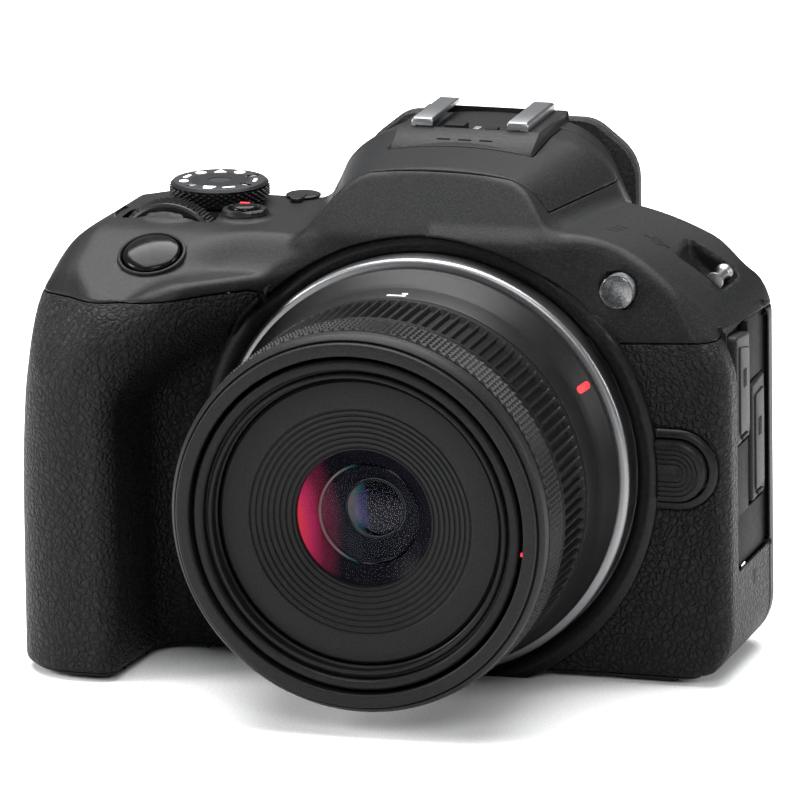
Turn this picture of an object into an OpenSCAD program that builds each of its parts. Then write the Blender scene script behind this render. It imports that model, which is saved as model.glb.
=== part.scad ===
// Mirrorless camera with a retractable zoom lens.
// Origin: mouth of the tripod socket, on the lens axis plane and on the image plane.
// +Z up, the lens looks along -Y, the hand grip is on the -X side.

/* [Body] */
// Face of the ports side, from the lens axis
right_x = 50; // [49:0.5:52]
// Outer side of the hand grip, from the lens axis
left_x = -66.5; // [-68:0.5:-66]
// Front skin of the body, ahead of the image plane
front_y = -16; // [-16.5:0.1:-16]
// Front of the hand grip
grip_y = -36.5; // [-38:0.5:-36]
// Back face of the rear cover
rear_y = 14; // [14:0.5:15]
// Top of the front and rear covers
split_z = 58; // [57.5:0.1:58]
// Flat of the top cover beside the dials
deck_z = 71; // [70.8:0.1:71.2]
// Wall of the covers
wall = 1.8; // [1.6:0.1:2]
// Thickness of the leatherette
skin = 0.8; // [0.6:0.1:0.9]

/* [Viewfinder hump] */
// Top face of the hump
hump_z = 81; // [80.8:0.1:81.2]
// Half width of the flat on top of the hump
hump_half = 14.5; // [14:0.1:15]
// Place of the flash pivot behind the image plane
flash_pivot_y = 17.5; // [17:0.1:18]

/* [Lens] */
// Height of the lens axis over the base
axis_z = 35; // [34.9:0.1:35.2]
// Distance from the mount face to the image plane
flange = 20; // [20:0.1:20.2]
// Radius of the lens base
lens_r = 33.4; // [33:0.1:33.5]
// Front of the fixed lens barrel, ahead of the image plane
lens_front = 57.5; // [57:0.1:58]
// Radius of the filter thread
filter_r = 24.5; // [24:0.1:24.6]

/* [Controls] */
// Radius of the mode dial
mode_r = 8.4; // [8:0.1:8.4]
// Radius of the main dial
main_r = 9.3; // [9:0.1:9.4]
// Radius of the shutter button
shutter_r = 4.7; // [4.4:0.1:4.8]
// Tilt of the shutter button towards the front
shutter_tilt = 24; // [20:1:25]

/* [Hidden] */
$fn = 96;

gap = 0.3;             // clearance round a moving piece
base_t = 2;            // thickness of the bottom cover
mount_r = 34.7;        // outside of the bright mount ring
throat_r = 27;         // inside of the mount ring
seat_r = 32;           // spigot of the mount ring, in the front cover
surround_r = 38.8;     // black surround of the mount
tube_in = 28;          // bore of the fixed lens tube
tube_out = 29;         // outside of the fixed lens tube
running = 0.08;        // radial clearance of a turning ring

shutter_at = [-45.2, -20, 68];
main_at = [-46.8, -4.5, deck_z - 6.6];
mode_at = [-42, 6.5];
movie_at = [-34.6, -3.2];
power_at = [-29.5, 12.5];
release_at = [41.6, 36];
lamp_at = [31.3, 64.6];
pad_at = [-43, 30];
eye_z = 69.5;            // height of the viewfinder axis
shoe_front = 4;        // front of the hot shoe housing
shoe_back = 27;        // back of the hot shoe housing
eyecup_y = 27.2;       // front of the eyecup
shoe_floor = 83.2;     // floor the accessory foot slides on
flash_floor = 75.3;    // shelf under the flash arms
flash_pivot_z = 78;
flash_in = 12.4;       // inside of the flash arms

// ---------- outlines ----------

function unit(v) = v / norm(v);

// points of an arc of radius r that rounds the corner p between its neighbours a and b
function corner(p, a, b, r, n) =
    let (u = unit(a - p), w = unit(b - p), half = acos(u * w) / 2,
         c = p + unit(u + w) * r / sin(half),
         s = p + u * r / tan(half) - c, e = p + w * r / tan(half) - c,
         from = atan2(s.y, s.x), turn = (atan2(e.y, e.x) - from + 540) % 360 - 180)
    [for (i = [0:n]) c + r * [cos(from + turn * i / n), sin(from + turn * i / n)]];

function flat(p) = [p.x, p.y];

// outline from corner points [x, y, radius]
function rounded(pts, n = 6) =
    let (m = len(pts))
    [for (i = [0:m - 1])
        each pts[i].z <= 0 ? [flat(pts[i])]
            : corner(flat(pts[i]), flat(pts[(i + m - 1) % m]), flat(pts[(i + 1) % m]),
                     pts[i].z, n)];

// plan of the body seen from above, drawn t inside the outer face
function plan(t) = rounded([
    [right_x - t, front_y + t, 4 - t], [right_x - t, rear_y - t, 4 - t],
    [-64.5 + t, rear_y - t, 6 - t], [left_x + t, -14, 20],
    [left_x + t, grip_y + t, 11 - t], [-39 - t, grip_y + t, 6 - t],
    [-34.5 - t, front_y + t, 5]]);

// top cover seen from the front
function upper_front(t) = rounded([
    [right_x - t, 40, 0], [right_x - t, 58 - t, 6], [43.5 - t * 0.7, 63.5 - t, 10],
    [30 - t * 0.7, 71 - t, 14], [24 - t, 72 - t, 3], [16.8 - t, 78 - t, 3],
    [hump_half - t, hump_z - t, 1.5], [t - hump_half, hump_z - t, 1.5],
    [t - 17, 77 - t, 3], [t - 24, deck_z - t, 4], [t - 56, deck_z - t, 8],
    [left_x + t, 60 - t, 8], [left_x + t, 40, 0]]);

module along_y(y0, y1) {
    translate([0, y1, 0]) rotate([90, 0, 0]) linear_extrude(y1 - y0) children();
}

module box(lo, hi) {
    translate(lo) cube(hi - lo);
}

// cylinder on the lens axis between two distances ahead of the image plane
module axial(r, from, to) {
    translate([0, -from, axis_z]) rotate([90, 0, 0]) cylinder(r = r, h = to - from);
}

module axial_tube(r_in, r_out, from, to) {
    difference() {
        axial(r_out, from, to);
        axial(r_in, from - 1, to + 1);
    }
}

// solid of revolution on the lens axis from [radius, distance ahead of the image plane]
module axial_lathe(profile) {
    translate([0, 0, axis_z]) rotate([90, 0, 0]) rotate_extrude() polygon(profile);
}

module lower_solid(t) {
    intersection() {
        translate([0, 0, -1]) linear_extrude(split_z + 1) polygon(plan(t));
        along_y(-60, 40) polygon([[right_x + 1, split_z], [-80, split_z], [-80, 0],
            [40, 0], [right_x - t, 11], [right_x + 1, 11]]);
    }
}

// plane that slopes down over the front of the grip
module grip_slope(lift) {
    translate([-80, shutter_at.y, shutter_at.z + lift]) rotate([shutter_tilt, 0, 0])
        translate([0, -60, 0]) cube([52, 67, 40]);
}

module upper_solid(t) {
    difference() {
        intersection() {
            translate([0, 0, 40]) linear_extrude(60) polygon(plan(t));
            along_y(-60, 40) polygon(upper_front(t));
        }
        grip_slope(-t);
        hump_slope(-t);
    }
}

// raked front of the hump
module hump_slope(lift) {
    translate([-30, front_y, deck_z + lift]) rotate([-40, 0, 0]) translate([0, -30, 0])
        cube([60, 30, 40]);
}

// ---------- casing ----------

module leather_zone(x0, x1) {
    box([x0, grip_y - 1, 4], [x1, -1, split_z]);
}

module front_cover() color("#232427") {
    difference() {
        union() {
            intersection() {
                lower_solid(0);
                box([-80, -60, base_t], [80, 0, split_z]);
            }
            intersection() {
                axial(surround_r, -front_y - 1, 17.6);
                box([-60, -60, base_t], [60, 0, split_z]);
            }
        }
        intersection() {
            lower_solid(wall + skin);
            box([-80, -60, -1], [80, 1, split_z + 1]);
        }
        ring_seat();
        leather_cut(left_x - 2, -27);
        leather_cut(27, right_x + 1);
        release_shape(gap, 10, 20);
        port_bay();
    }
}

// stepped seat of the mount ring
module ring_seat() {
    axial(mount_r + 0.1, 15, 20);
    axial(seat_r, 10, 16);
}

// recess that the leatherette fills
module leather_cut(x0, x1) {
    difference() {
        leather_zone(x0, x1);
        lower_solid(skin);
        axial(surround_r, 10, 20);
        release_shape(1.4, 10, 20);
    }
}

module leather_piece(x0, x1) {
    difference() {
        intersection() {
            lower_solid(0);
            leather_zone(x0, x1);
        }
        lower_solid(skin);
        axial(surround_r, 10, 20);
        release_shape(1.4, 10, 20);
        port_bay();
    }
}

module grip_leatherette() color("#1b1c1e") leather_piece(left_x - 1, -27);

module front_leatherette() color("#1b1c1e") leather_piece(27, right_x + 1);

module port_bay() {
    box([46, -10, 19], [right_x + 2, 9.5, 57.5]);
}

module top_cover() color("#26272a") {
    difference() {
        union() {
            intersection() {
                upper_solid(0);
                box([-80, -60, split_z], [80, 40, 100]);
            }
            translate([movie_at.x, movie_at.y, deck_z - 1]) cylinder(r = 3.7, h = 2);
            viewfinder_tunnel(0);
            shutter_collar();
            intersection() {
                axial(surround_r, -front_y - wall, 17.6);
                box([-60, -60, split_z], [60, 0, deck_z + 1.5]);
            }
        }
        intersection() {
            upper_solid(wall);
            box([-80, -60, 40], [80, 40, flash_floor - wall]);
        }
        viewfinder_tunnel(wall);
        box([-8, 10, eye_z - 4], [8, 30, eye_z + 4]);
        flash_bay();
        shoe_seat();
        dial_slot();
        translate([mode_at.x, mode_at.y, 60]) cylinder(r = 2.1, h = 20);
        translate([movie_at.x, movie_at.y, 60]) cylinder(r = 2.2, h = 20);
        translate([power_at.x, power_at.y, 60]) cylinder(r = 1.6, h = 20);
        shutter_frame_of() translate([0, 0, -12]) cylinder(r = 5, h = 20);
        lug_recess(1);
        lug_recess(-1);
        along_y(-20, -10) translate(lamp_at) circle(r = 2.8);
        diopter_bay();
        ring_seat();
    }
}

// eyepiece housing, drawn t inside its outer face
module viewfinder_tunnel(t) {
    along_y(rear_y - 4, eyecup_y - t) polygon(rounded([[21 - t, 59 + t, 2], [21 - t, 70, 4],
        [16.8 - t, 78 - 2 * t, 3], [hump_half - t, hump_z - 4 * t, 1],
        [t - hump_half, hump_z - 4 * t, 1],
        [t - 16.8, 78 - 2 * t, 3], [t - 21, 70, 4], [t - 21, 59 + t, 2]]));
}

module flash_bay() {
    box([-30, -8, flash_floor], [30, flash_pivot_y + 3.7, 100]);
}

// pocket for the accessory shoe housing
module shoe_seat() {
    box([-12.1, shoe_front, flash_floor], [12.1, 40, 100]);
}

module shutter_frame_of() {
    translate(shutter_at) rotate([shutter_tilt, 0, 0]) children();
}

module shutter_collar() {
    shutter_frame_of() translate([0, 0, -3]) cylinder(r = 6.5, h = 3.4);
}

module dial_slot() {
    translate(main_at) rotate([90, 0, 0]) cylinder(r = main_r + 0.5, h = 4.8, center = true);
}

module lug_recess(side) {
    x = side > 0 ? 45 : -61.5;
    translate([x, 1.5, 65]) rotate([90, 0, 0]) cylinder(r = 4.6, h = 6, center = true);
}

module diopter_bay() {
    translate([20, 17, 65]) rotate([0, 90, 0]) cylinder(r = 3.6, h = 6);
}

module rear_cover() color("#232427") {
    difference() {
        union() {
            intersection() {
                lower_solid(0);
                box([-80, 0, base_t], [80, 60, split_z]);
            }
            along_y(rear_y - 1, 16.8) polygon(rounded([[48, 4.5, 3], [48, 57, 3],
                [-26, 57, 3], [-26, 4.5, 3]]));
        }
        intersection() {
            lower_solid(wall);
            box([-80, -1, -1], [80, 60, split_z + 1]);
        }
        box([-22, 8, 8], [44, 20, 53.5]);
        port_bay();
        for (b = rear_buttons)
            translate([b.x, 0, b.y]) rotate([-90, 0, 0]) cylinder(r = b.z + gap, h = 20);
        translate([pad_at.x, 0, pad_at.y]) rotate([-90, 0, 0]) cylinder(r = 9.6, h = 20);
    }
}

module bottom_cover() color("#1e1f21") {
    difference() {
        intersection() {
            lower_solid(0);
            box([-80, -60, 0], [80, 60, base_t]);
        }
        door_shape(0.35, -1, 3);
        axial(mount_r + 0.1, 15, 20);
        translate([0, 0, -1]) cylinder(r = 5, h = 4);
        for (p = screw_places)
            translate([p.x, p.y, -1]) cylinder(r = 1.6, h = 4);
    }
}

screw_places = [[-30, 8], [-30, -10], [30, 8], [30, -10]];

module body_screws() color("#3a3b3e") {
    for (p = screw_places)
        translate([p.x, p.y, 0.2]) difference() {
            cylinder(r = 1.6, h = 5);
            translate([-0.9, -0.25, -1]) cube([1.8, 0.5, 1.5]);
            translate([-0.25, -0.9, -1]) cube([0.5, 1.8, 1.5]);
        }
}

// ---------- frame and electronics ----------

module chassis() color("#6b6e72") {
    difference() {
        union() {
            box([-34, -13.4, 5], [35.5, -8.2, 57.5]);
            box([-33, -13.4, base_t], [33, 4, 5]);
            axial(seat_r, 13.3, 14);
        }
        axial(throat_r + 0.5, 0, 20);
        cylinder(r = 5, h = 10);
        lock_bore(1.6, 0, 20);
        for (p = screw_places)
            translate([p.x, p.y, -1]) cylinder(r = 1.6, h = 8);
    }
}

module mount_ring() color("#c9ccd0") {
    difference() {
        union() {
            axial_tube(throat_r, mount_r, 15, flange);
            axial_tube(throat_r, seat_r, 14, 15.5);
        }
        lock_bore(1.25, 0, 25);
    }
}

module tripod_bush() color("#9a9da1") {
    difference() {
        cylinder(r = 5, h = 7.5);
        translate([0, 0, -1]) cylinder(r = 3.175, h = 6.8);
    }
}

module image_sensor() color("#2f4650") {
    box([-13.5, -1, axis_z - 10], [13.5, 0.8, axis_z + 10]);
    box([-19, 0.8, 14], [19, 2.2, 52]);
}

module shutter_frame() color("#151618") {
    difference() {
        box([-22, -8.2, 8], [22, -5, 47]);
        box([-11.8, -9, axis_z - 8], [11.8, -4, axis_z + 8]);
        box([-19.6, -7, 9.5], [19.6, -6, 44]);
    }
}

module shutter_curtain() color("#0e0f10") {
    box([-19.2, -6.7, 9.8], [19.2, -6.3, axis_z - 8.4]);
}

module main_board() color("#1f5a3a") {
    box([-32, 6, 6], [43, 7.2, 56]);
    box([-12, 7.2, 20], [6, 8.6, 38]);
}

battery_from = [-62.1, -25.8, 3.2];     // the battery is 14 x 33 x 49.4
battery_to = [-48.1, 7.2, 52.6];
card_from = [-45.5, -14, 4];             // the memory card is 2.1 x 24 x 32
card_to = [-43.4, 10, 36];
box_wall = [0.5, 0.4, 0];               // walls of the battery box

module battery() color("#2d2f33") box(battery_from, battery_to);

module memory_card() color("#20242c") box(card_from, card_to);

module battery_box() color("#3b3d41") {
    difference() {
        union() {
            box(battery_from - box_wall, battery_to + box_wall + [0, 0, 0.8]);
            box(card_from - box_wall - [0, 0, 1], card_to + box_wall + [0, 0, 2]);
            box([battery_to.x, card_from.y, 3], [card_from.x, battery_to.y, 38]);
        }
        box([battery_from.x, battery_from.y, 2], battery_to);
        box([card_from.x, card_from.y, 2], card_to);
    }
}

module door_shape(grow, z0, z1) {
    translate([0, 0, z0]) linear_extrude(z1 - z0) polygon(rounded([
        [-38.6 + grow, -30 - grow, 2 + grow], [-38.6 + grow, 10.5 + grow, 1 + grow],
        [-62.8 - grow, 10.5 + grow, 3 + grow], [-62.8 - grow, -30 - grow, 9 + grow]]));
}

module battery_door() color("#1e1f21") {
    difference() {
        door_shape(0, 0.4, base_t - 0.1);
        box([-60, -17, 0], [-51.6, -9, 1.4]);
    }
}

module door_latch() color("#2b2c2f") {
    difference() {
        box([-59.8, -16.8, 0.4], [-55.2, -9.2, 1.2]);
        for (x = [-58.6:1.1:-56]) box([x, -16, 0.3], [x + 0.4, -10, 0.6]);
    }
}

// ---------- screen and viewfinder ----------

module screen_panel() color("#101216") box([-21, 9, 9], [43, 15, 52.5]);

module screen_window() color("#0a0b0d") {
    along_y(15, 16.6) polygon(rounded([[43.8, 8.2, 1], [43.8, 53.3, 1],
        [-21.8, 53.3, 1], [-21.8, 8.2, 1]]));
}

module eyepiece_lens() color("#20262e") {
    box([-8, 21, eye_z - 4], [8, 24, eye_z + 4]);
}

module eyecup() color("#17181a") {
    difference() {
        union() {
            along_y(eyecup_y, 30) polygon(rounded([[23.5, 60.5, 6], [23.5, 77, 8],
                [16, 83, 6], [-16, 83, 6], [-23.5, 77, 8], [-23.5, 60.5, 6]]));
            along_y(30, 32.2) polygon(rounded([[21.5, 62, 6], [21.5, 76, 8],
                [15, 81.5, 6], [-15, 81.5, 6], [-21.5, 76, 8], [-21.5, 62, 6]]));
        }
        along_y(21, 33) polygon(rounded([[11, eye_z - 7, 3], [11, eye_z + 7, 3],
            [-11, eye_z + 7, 3], [-11, eye_z - 7, 3]]));
    }
}

// ---------- flash and shoe ----------

module flash_head() color("#232427") {
    difference() {
        intersection() {
            along_y(-7.7, flash_pivot_y + 1.5) polygon(upper_front(0));
            box([-30, -10, flash_pivot_z - 1.8], [30, 30, 100]);
        }
        box([-flash_in, shoe_front - gap, 60], [flash_in, 40, 100]);
        box([-flash_in - 0.5, -5.7, 60], [flash_in + 0.5, shoe_front, hump_z - 1.6]);
        for (s = [-1, 1])
            translate([s * 14, flash_pivot_y, flash_pivot_z]) rotate([0, 90, 0])
                cylinder(r = 1.05, h = 8, center = true);
    }
}

module flash_window() color("#d8dde2") {
    box([-10.5, -5.7, 76.6], [10.5, -4.3, hump_z - 1.6]);
}

module shoe_housing() color("#1f2023") {
    difference() {
        union() {
            translate([-12, 0, 0]) rotate([90, 0, 90]) linear_extrude(24) polygon([
                [shoe_front, flash_floor], [shoe_front, 80.8], [9.6, 84.4], [shoe_back, 84.4],
                [shoe_back, flash_floor]]);
            for (s = [-1, 1])
                translate([s * 13.5, flash_pivot_y, flash_pivot_z]) rotate([0, 90, 0])
                    cylinder(r = 1, h = 3.2, center = true);
        }
        box([-9.9, 9.6, shoe_floor], [9.9, shoe_back - 1.2, 90]);
    }
}

module shoe_rails() color("#a9acb0") {
    for (s = [-1, 1]) {
        difference() {
            box([min(s * 6.4, s * 9.9), 9.6, shoe_floor],
                [max(s * 6.4, s * 9.9), shoe_back - 1.4, 86]);
            box([min(s * 5, s * 9.35), 9, shoe_floor],
                [max(s * 5, s * 9.35), shoe_back, 85.2]);
        }
    }
}

module shoe_contacts() color("#b8a878") {
    for (p = [[0, 18], [3.6, 14.5], [3.6, 21.5], [-3.6, 21.5], [-3.6, 14.5]])
        translate([p.x, p.y, shoe_floor]) cylinder(r = p.x == 0 ? 1.3 : 0.8, h = 0.35);
}

// ---------- small fixed pieces ----------

module af_lamp_window() color("#c8c6c0") {
    along_y(-14.5, -12) translate(lamp_at) circle(r = 2.8);
}

module strap_lugs() color("#c9ccd0") {
    for (x = [45, -61.5])
        translate([x, 1.5, 65]) rotate([0, 45, 0]) rotate([90, 0, 0]) difference() {
            translate([0, 0, -3]) cylinder(r = 1, h = 6);
            translate([0, 0, -0.5]) rotate_extrude() polygon([[0.75, 0], [2, 0], [2, 1], [0.75, 1]]);
        }
}

// ---------- ports ----------

module port_panel() color("#17181a") {
    difference() {
        box([46, -10, 19], [47.6, 9.5, 57.5]);
        translate([40, -4.6, 52]) rotate([0, 90, 0]) cylinder(r = 3, h = 10);
        box([40, -8.6, 40], [50, -0.8, 45]);
        box([40, 1, 30], [50, 7, 44]);
    }
}

module port_sockets() color("#8c8f93") {
    difference() {
        union() {
            translate([43, -4.6, 52]) rotate([0, 90, 0]) cylinder(r = 3, h = 4.6);
            box([43, -8.6, 40], [47.6, -0.8, 45]);
            box([43, 1, 30], [47.6, 7, 44]);
        }
        translate([40, -4.6, 52]) rotate([0, 90, 0]) cylinder(r = 1.75, h = 10);
        box([44, -8, 40.8], [50, -1.4, 44.2]);
        box([44, 2, 31], [50, 5.4, 43]);
    }
}

module port_cover_upper() color("#2a2b2d") {
    along_z(38.5, 56.8) polygon(rounded([[48, -8.8, 0.2], [50.2, -8.8, 0.9],
        [50.2, -0.6, 0.4], [48, -0.6, 0.2]]));
}

module port_cover_lower() color("#2a2b2d") {
    along_z(27, 46.5) polygon(rounded([[48, 0.6, 0.2], [50.2, 0.6, 0.9],
        [50.2, 8.3, 0.4], [48, 8.3, 0.2]]));
}

module along_z(z0, z1) {
    translate([0, 0, z0]) linear_extrude(z1 - z0) children();
}

// ---------- controls ----------

module shutter_button() color("#0d0d0f") {
    shutter_frame_of() {
        cylinder(r1 = shutter_r, r2 = shutter_r - 0.5, h = 1.2);
        translate([0, 0, -1.6]) cylinder(r = shutter_r, h = 1.6);
        translate([0, 0, -6]) cylinder(r = 1.5, h = 4.4);
    }
}

module knurled(r, h, teeth, depth) {
    difference() {
        cylinder(r = r, h = h);
        for (i = [0:teeth - 1])
            rotate([0, 0, 360 * i / teeth]) translate([r, 0, h / 2]) rotate([0, 0, 45])
                cube([depth, depth, h + 1], center = true);
    }
}

module main_dial() color("#1c1d20") {
    translate(main_at) rotate([90, 0, 0]) translate([0, 0, -2]) difference() {
        knurled(main_r, 4, 48, 0.6);
        translate([0, 0, -1]) cylinder(r = 1.5, h = 6);
    }
}

module mode_dial() color("#1c1d20") {
    translate([mode_at.x, mode_at.y, 0]) {
        translate([0, 0, deck_z + gap]) knurled(mode_r, 3.4, 48, 0.6);
        translate([0, 0, deck_z - 4]) cylinder(r = 2, h = 5);
    }
}

module power_lever() color("#1c1d20") {
    translate([power_at.x, power_at.y, 0]) {
        translate([0, 0, deck_z - 3]) cylinder(r = 1.5, h = 4);
        translate([0, 0, deck_z + 0.2]) cylinder(r = 3, h = 1);
        translate([-1, -5, deck_z + 0.2]) cube([2, 5, 1.2]);
    }
}

module movie_button() color("#26272a") {
    translate([movie_at.x, movie_at.y, 0]) {
        translate([0, 0, deck_z - 2]) cylinder(r = 2.1, h = 3.6);
        translate([0, 0, deck_z - 3]) cylinder(r = 2.6, h = 1);
    }
}

module diopter_dial() color("#1c1d20") {
    translate([20.5, 17, 65]) rotate([0, 90, 0]) knurled(3.2, 2, 24, 0.4);
}

module release_shape(grow, from, to) {
    along_y(-to, -from) intersection() {
        union() {
            translate(release_at) circle(r = 5.1 + grow);
            translate([30, release_at.y - 5.1 - grow])
                square([release_at.x - 30, 10.2 + 2 * grow]);
        }
        difference() {
            translate([30, 20]) square([25, 32]);
            translate([0, axis_z]) circle(r = surround_r - 2 + (2 - grow));
        }
    }
}

module lens_release_button() color("#232427") {
    release_shape(0, 12.6, 18.4);
}

// round bar on the line of the lens lock pin
module lock_bore(r, from, to) {
    translate([30.8, -from, axis_z]) rotate([90, 0, 0]) cylinder(r = r, h = to - from);
}

module lens_lock_pin() color("#9a9da1") {
    lock_bore(1.2, 9, 21);
}

rear_buttons = [[-53.5, 52.5, 2.2], [-45, 53.5, 2.2], [-33, 45, 2.6], [-51, 13.5, 2.6],
    [-35, 13.5, 2.6]];

// round button on the back, r is its radius
module rear_button(spec) {
    translate([spec.x, 0, spec.y]) rotate([-90, 0, 0]) {
        translate([0, 0, 10.4]) cylinder(r = spec.z, h = 4.6);
        translate([0, 0, 9.6]) cylinder(r = spec.z + 0.6, h = 0.8);
    }
}

module ae_lock_button() color("#2a2b2e") rear_button(rear_buttons[0]);
module af_point_button() color("#2a2b2e") rear_button(rear_buttons[1]);
module info_button() color("#2a2b2e") rear_button(rear_buttons[2]);
module menu_button() color("#2a2b2e") rear_button(rear_buttons[3]);
module playback_button() color("#2a2b2e") rear_button(rear_buttons[4]);

module set_button() color("#2a2b2e") {
    translate([pad_at.x, 0, pad_at.y]) rotate([-90, 0, 0])
        translate([0, 0, 11.2]) cylinder(r = 3.6, h = 3.6);
}

module keypad_ring() color("#2a2b2e") {
    translate([pad_at.x, 0, pad_at.y]) rotate([-90, 0, 0]) translate([0, 0, 11]) difference() {
        cylinder(r = 9.2, h = 3.8);
        translate([0, 0, -1]) cylinder(r = 4.2, h = 6);
    }
}

// ---------- lens ----------

module lens_mount() color("#3a3c40") {
    difference() {
        axial_lathe([[22, 15], [throat_r - 0.1, 15], [throat_r - 0.1, flange],
            [lens_r - 0.4, flange], [lens_r - 0.4, flange + 1.5], [22, flange + 1.5]]);
        lock_bore(1.3, 19, 21.2);
    }
}

module lens_barrel() color("#222326") {
    axial_lathe([[23, flange + 1.5], [lens_r, flange + 1.5], [lens_r, flange + 2.6],
        [31.6, flange + 7], [31, 31.8], [tube_out, 31.8], [tube_out, lens_front - 1.6],
        [tube_in, lens_front - 1.6], [tube_in, flange + 4], [23, flange + 4]]);
}

module zoom_ring() color("#1d1e20") {
    difference() {
        axial_tube(tube_out + running, 31.2, 32.1, 49.6);
        for (i = [0:71])
            translate([0, 0, axis_z]) rotate([0, i * 5, 0]) translate([31.2, -41, 0])
                cube([0.9, 14, 1.4], center = true);
    }
}

module control_ring() color("#1d1e20") {
    axial_tube(tube_out + running, 31.7, 49.9, lens_front - 1.8);
}

module front_rim() color("#3b3c40") {
    axial_lathe([[tube_in, lens_front - 1.6], [30.6, lens_front - 1.6],
        [30.6, lens_front - 0.4], [30, lens_front], [tube_in, lens_front]]);
}

module inner_barrel() color("#232427") {
    axial_lathe([[26.4, 33], [tube_in - 0.15, 33], [tube_in - 0.15, lens_front],
        [filter_r, lens_front], [filter_r, lens_front - 3.2], [23.4, lens_front - 3.2],
        [23.4, lens_front - 5], [26.4, lens_front - 5]]);
}

module front_bezel() color("#1a1b1d") {
    axial_lathe([[23.4, lens_front - 3.2], [18.5, lens_front - 3.6],
        for (i = [0:7]) each [[18.2 - i * 0.8, lens_front - 3.8 - i * 0.6],
            [17.8 - i * 0.8, lens_front - 4.2 - i * 0.6]],
        [11.8, lens_front - 8.8], [11.8, lens_front - 10.4], [23.4, lens_front - 10.4]]);
}

module front_element() color("#141022") {
    axial_lathe([[0, 44.5], [11.8, 44.5], [11.8, lens_front - 10],
        for (i = [0:8]) let (a = 30 - i * 30 / 8) [23.6 * sin(a), 28.3 + 23.6 * cos(a)]]);
}

module aperture_unit() color("#101113") {
    axial_tube(6, 26.4, 41, 43);
}

module focus_cell() color("#2c2e33") {
    axial_tube(9, 22, 36, 38.4);
    axial_lathe([[0, 36.6], [9, 36.2], [9, 38.2], [0, 37.8]]);
}

module rear_element() color("#1b2230") {
    axial_lathe([[0, 16.4], [21.95, 16.4], [21.95, 20], [0, 20.8]]);
}

front_cover();
top_cover();
rear_cover();
bottom_cover();
grip_leatherette();
front_leatherette();
chassis();
mount_ring();
tripod_bush();
image_sensor();
shutter_frame();
shutter_curtain();
main_board();
body_screws();
screen_panel();
screen_window();
eyepiece_lens();
eyecup();
shoe_housing();
shoe_rails();
shoe_contacts();
af_lamp_window();
strap_lugs();
battery();
memory_card();
battery_box();
battery_door();
door_latch();
flash_head();
flash_window();
port_panel();
port_sockets();
port_cover_upper();
port_cover_lower();
shutter_button();
main_dial();
mode_dial();
power_lever();
movie_button();
diopter_dial();
lens_release_button();
lens_lock_pin();
ae_lock_button();
af_point_button();
info_button();
menu_button();
playback_button();
set_button();
keypad_ring();
lens_mount();
lens_barrel();
zoom_ring();
control_ring();
front_rim();
inner_barrel();
front_bezel();
front_element();
aperture_unit();
focus_cell();
rear_element();
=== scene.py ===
import math

import bpy
import numpy as np
import openvdb
from mathutils import Matrix, Vector


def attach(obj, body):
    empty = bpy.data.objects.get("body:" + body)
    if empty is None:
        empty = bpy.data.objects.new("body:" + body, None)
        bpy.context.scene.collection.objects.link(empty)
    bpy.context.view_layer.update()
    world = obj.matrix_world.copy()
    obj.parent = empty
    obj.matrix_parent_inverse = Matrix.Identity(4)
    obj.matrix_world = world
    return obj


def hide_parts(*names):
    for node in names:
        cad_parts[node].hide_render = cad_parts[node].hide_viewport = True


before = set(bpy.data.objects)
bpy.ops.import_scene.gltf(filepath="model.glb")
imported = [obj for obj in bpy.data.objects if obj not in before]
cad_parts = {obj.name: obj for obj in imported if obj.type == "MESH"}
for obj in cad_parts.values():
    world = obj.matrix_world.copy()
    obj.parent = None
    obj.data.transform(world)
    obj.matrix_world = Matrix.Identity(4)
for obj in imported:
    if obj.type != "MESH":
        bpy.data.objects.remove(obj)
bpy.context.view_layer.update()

MM = 0.001
AXIS_Z = 35.0            # height of the lens axis, mm
GRID = 0.7               # cell of the grid that the body surface is taken from, mm
THROAT = (0, 0, AXIS_Z)  # where the lens axis meets the image plane
FORWARD, BACKWARD, UP = (0, -1, 0), (0, 1, 0), (0, 0, 1)


# ---------- small helpers for shapes ----------

def step(t, a, b):
    """0 below a, 1 above b, smooth between."""
    s = np.clip((t - a) / (b - a), 0, 1)
    return s * s * (3 - 2 * s)


def ramp(t, soft):
    """t where positive, 0 where negative, rounded over about soft."""
    return 0.5 * (t + np.sqrt(t * t + soft * soft))


def both(a, b, r):
    """Intersection of two fields, with its edge rounded to radius r."""
    return np.minimum(-r, np.maximum(a, b)) + np.hypot(np.maximum(r + a, 0), np.maximum(r + b, 0))


def either(a, b, r):
    """Union of two fields, with its inner corner filled to radius r."""
    return np.maximum(r, np.minimum(a, b)) - np.hypot(np.maximum(r - a, 0), np.maximum(r - b, 0))


def without(a, b, r):
    """Field a with b cut out of it, the edge rounded to radius r."""
    return both(a, -b, r)


def box_field(u, v, low, high, radius):
    """A rectangle from low to high, with round corners."""
    (u0, v0), (u1, v1) = low, high
    return both(np.abs(u - (u0 + u1) / 2) - (u1 - u0) / 2, np.abs(v - (v0 + v1) / 2) - (v1 - v0) / 2,
                radius)


def tube_field(x, y, z, centre, axis, radius, low, high):
    """A round bar round an axis through centre, between two distances along it."""
    n = np.array(axis, float) / np.linalg.norm(axis)
    px, py, pz = x - centre[0], y - centre[1], z - centre[2]
    along = px * n[0] + py * n[1] + pz * n[2]
    across = np.sqrt(np.maximum(px * px + py * py + pz * pz - along * along, 0))
    return np.maximum(across - radius, np.maximum(low - along, along - high))


# ---------- the body surface, as one field in mm, negative inside ----------

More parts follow.
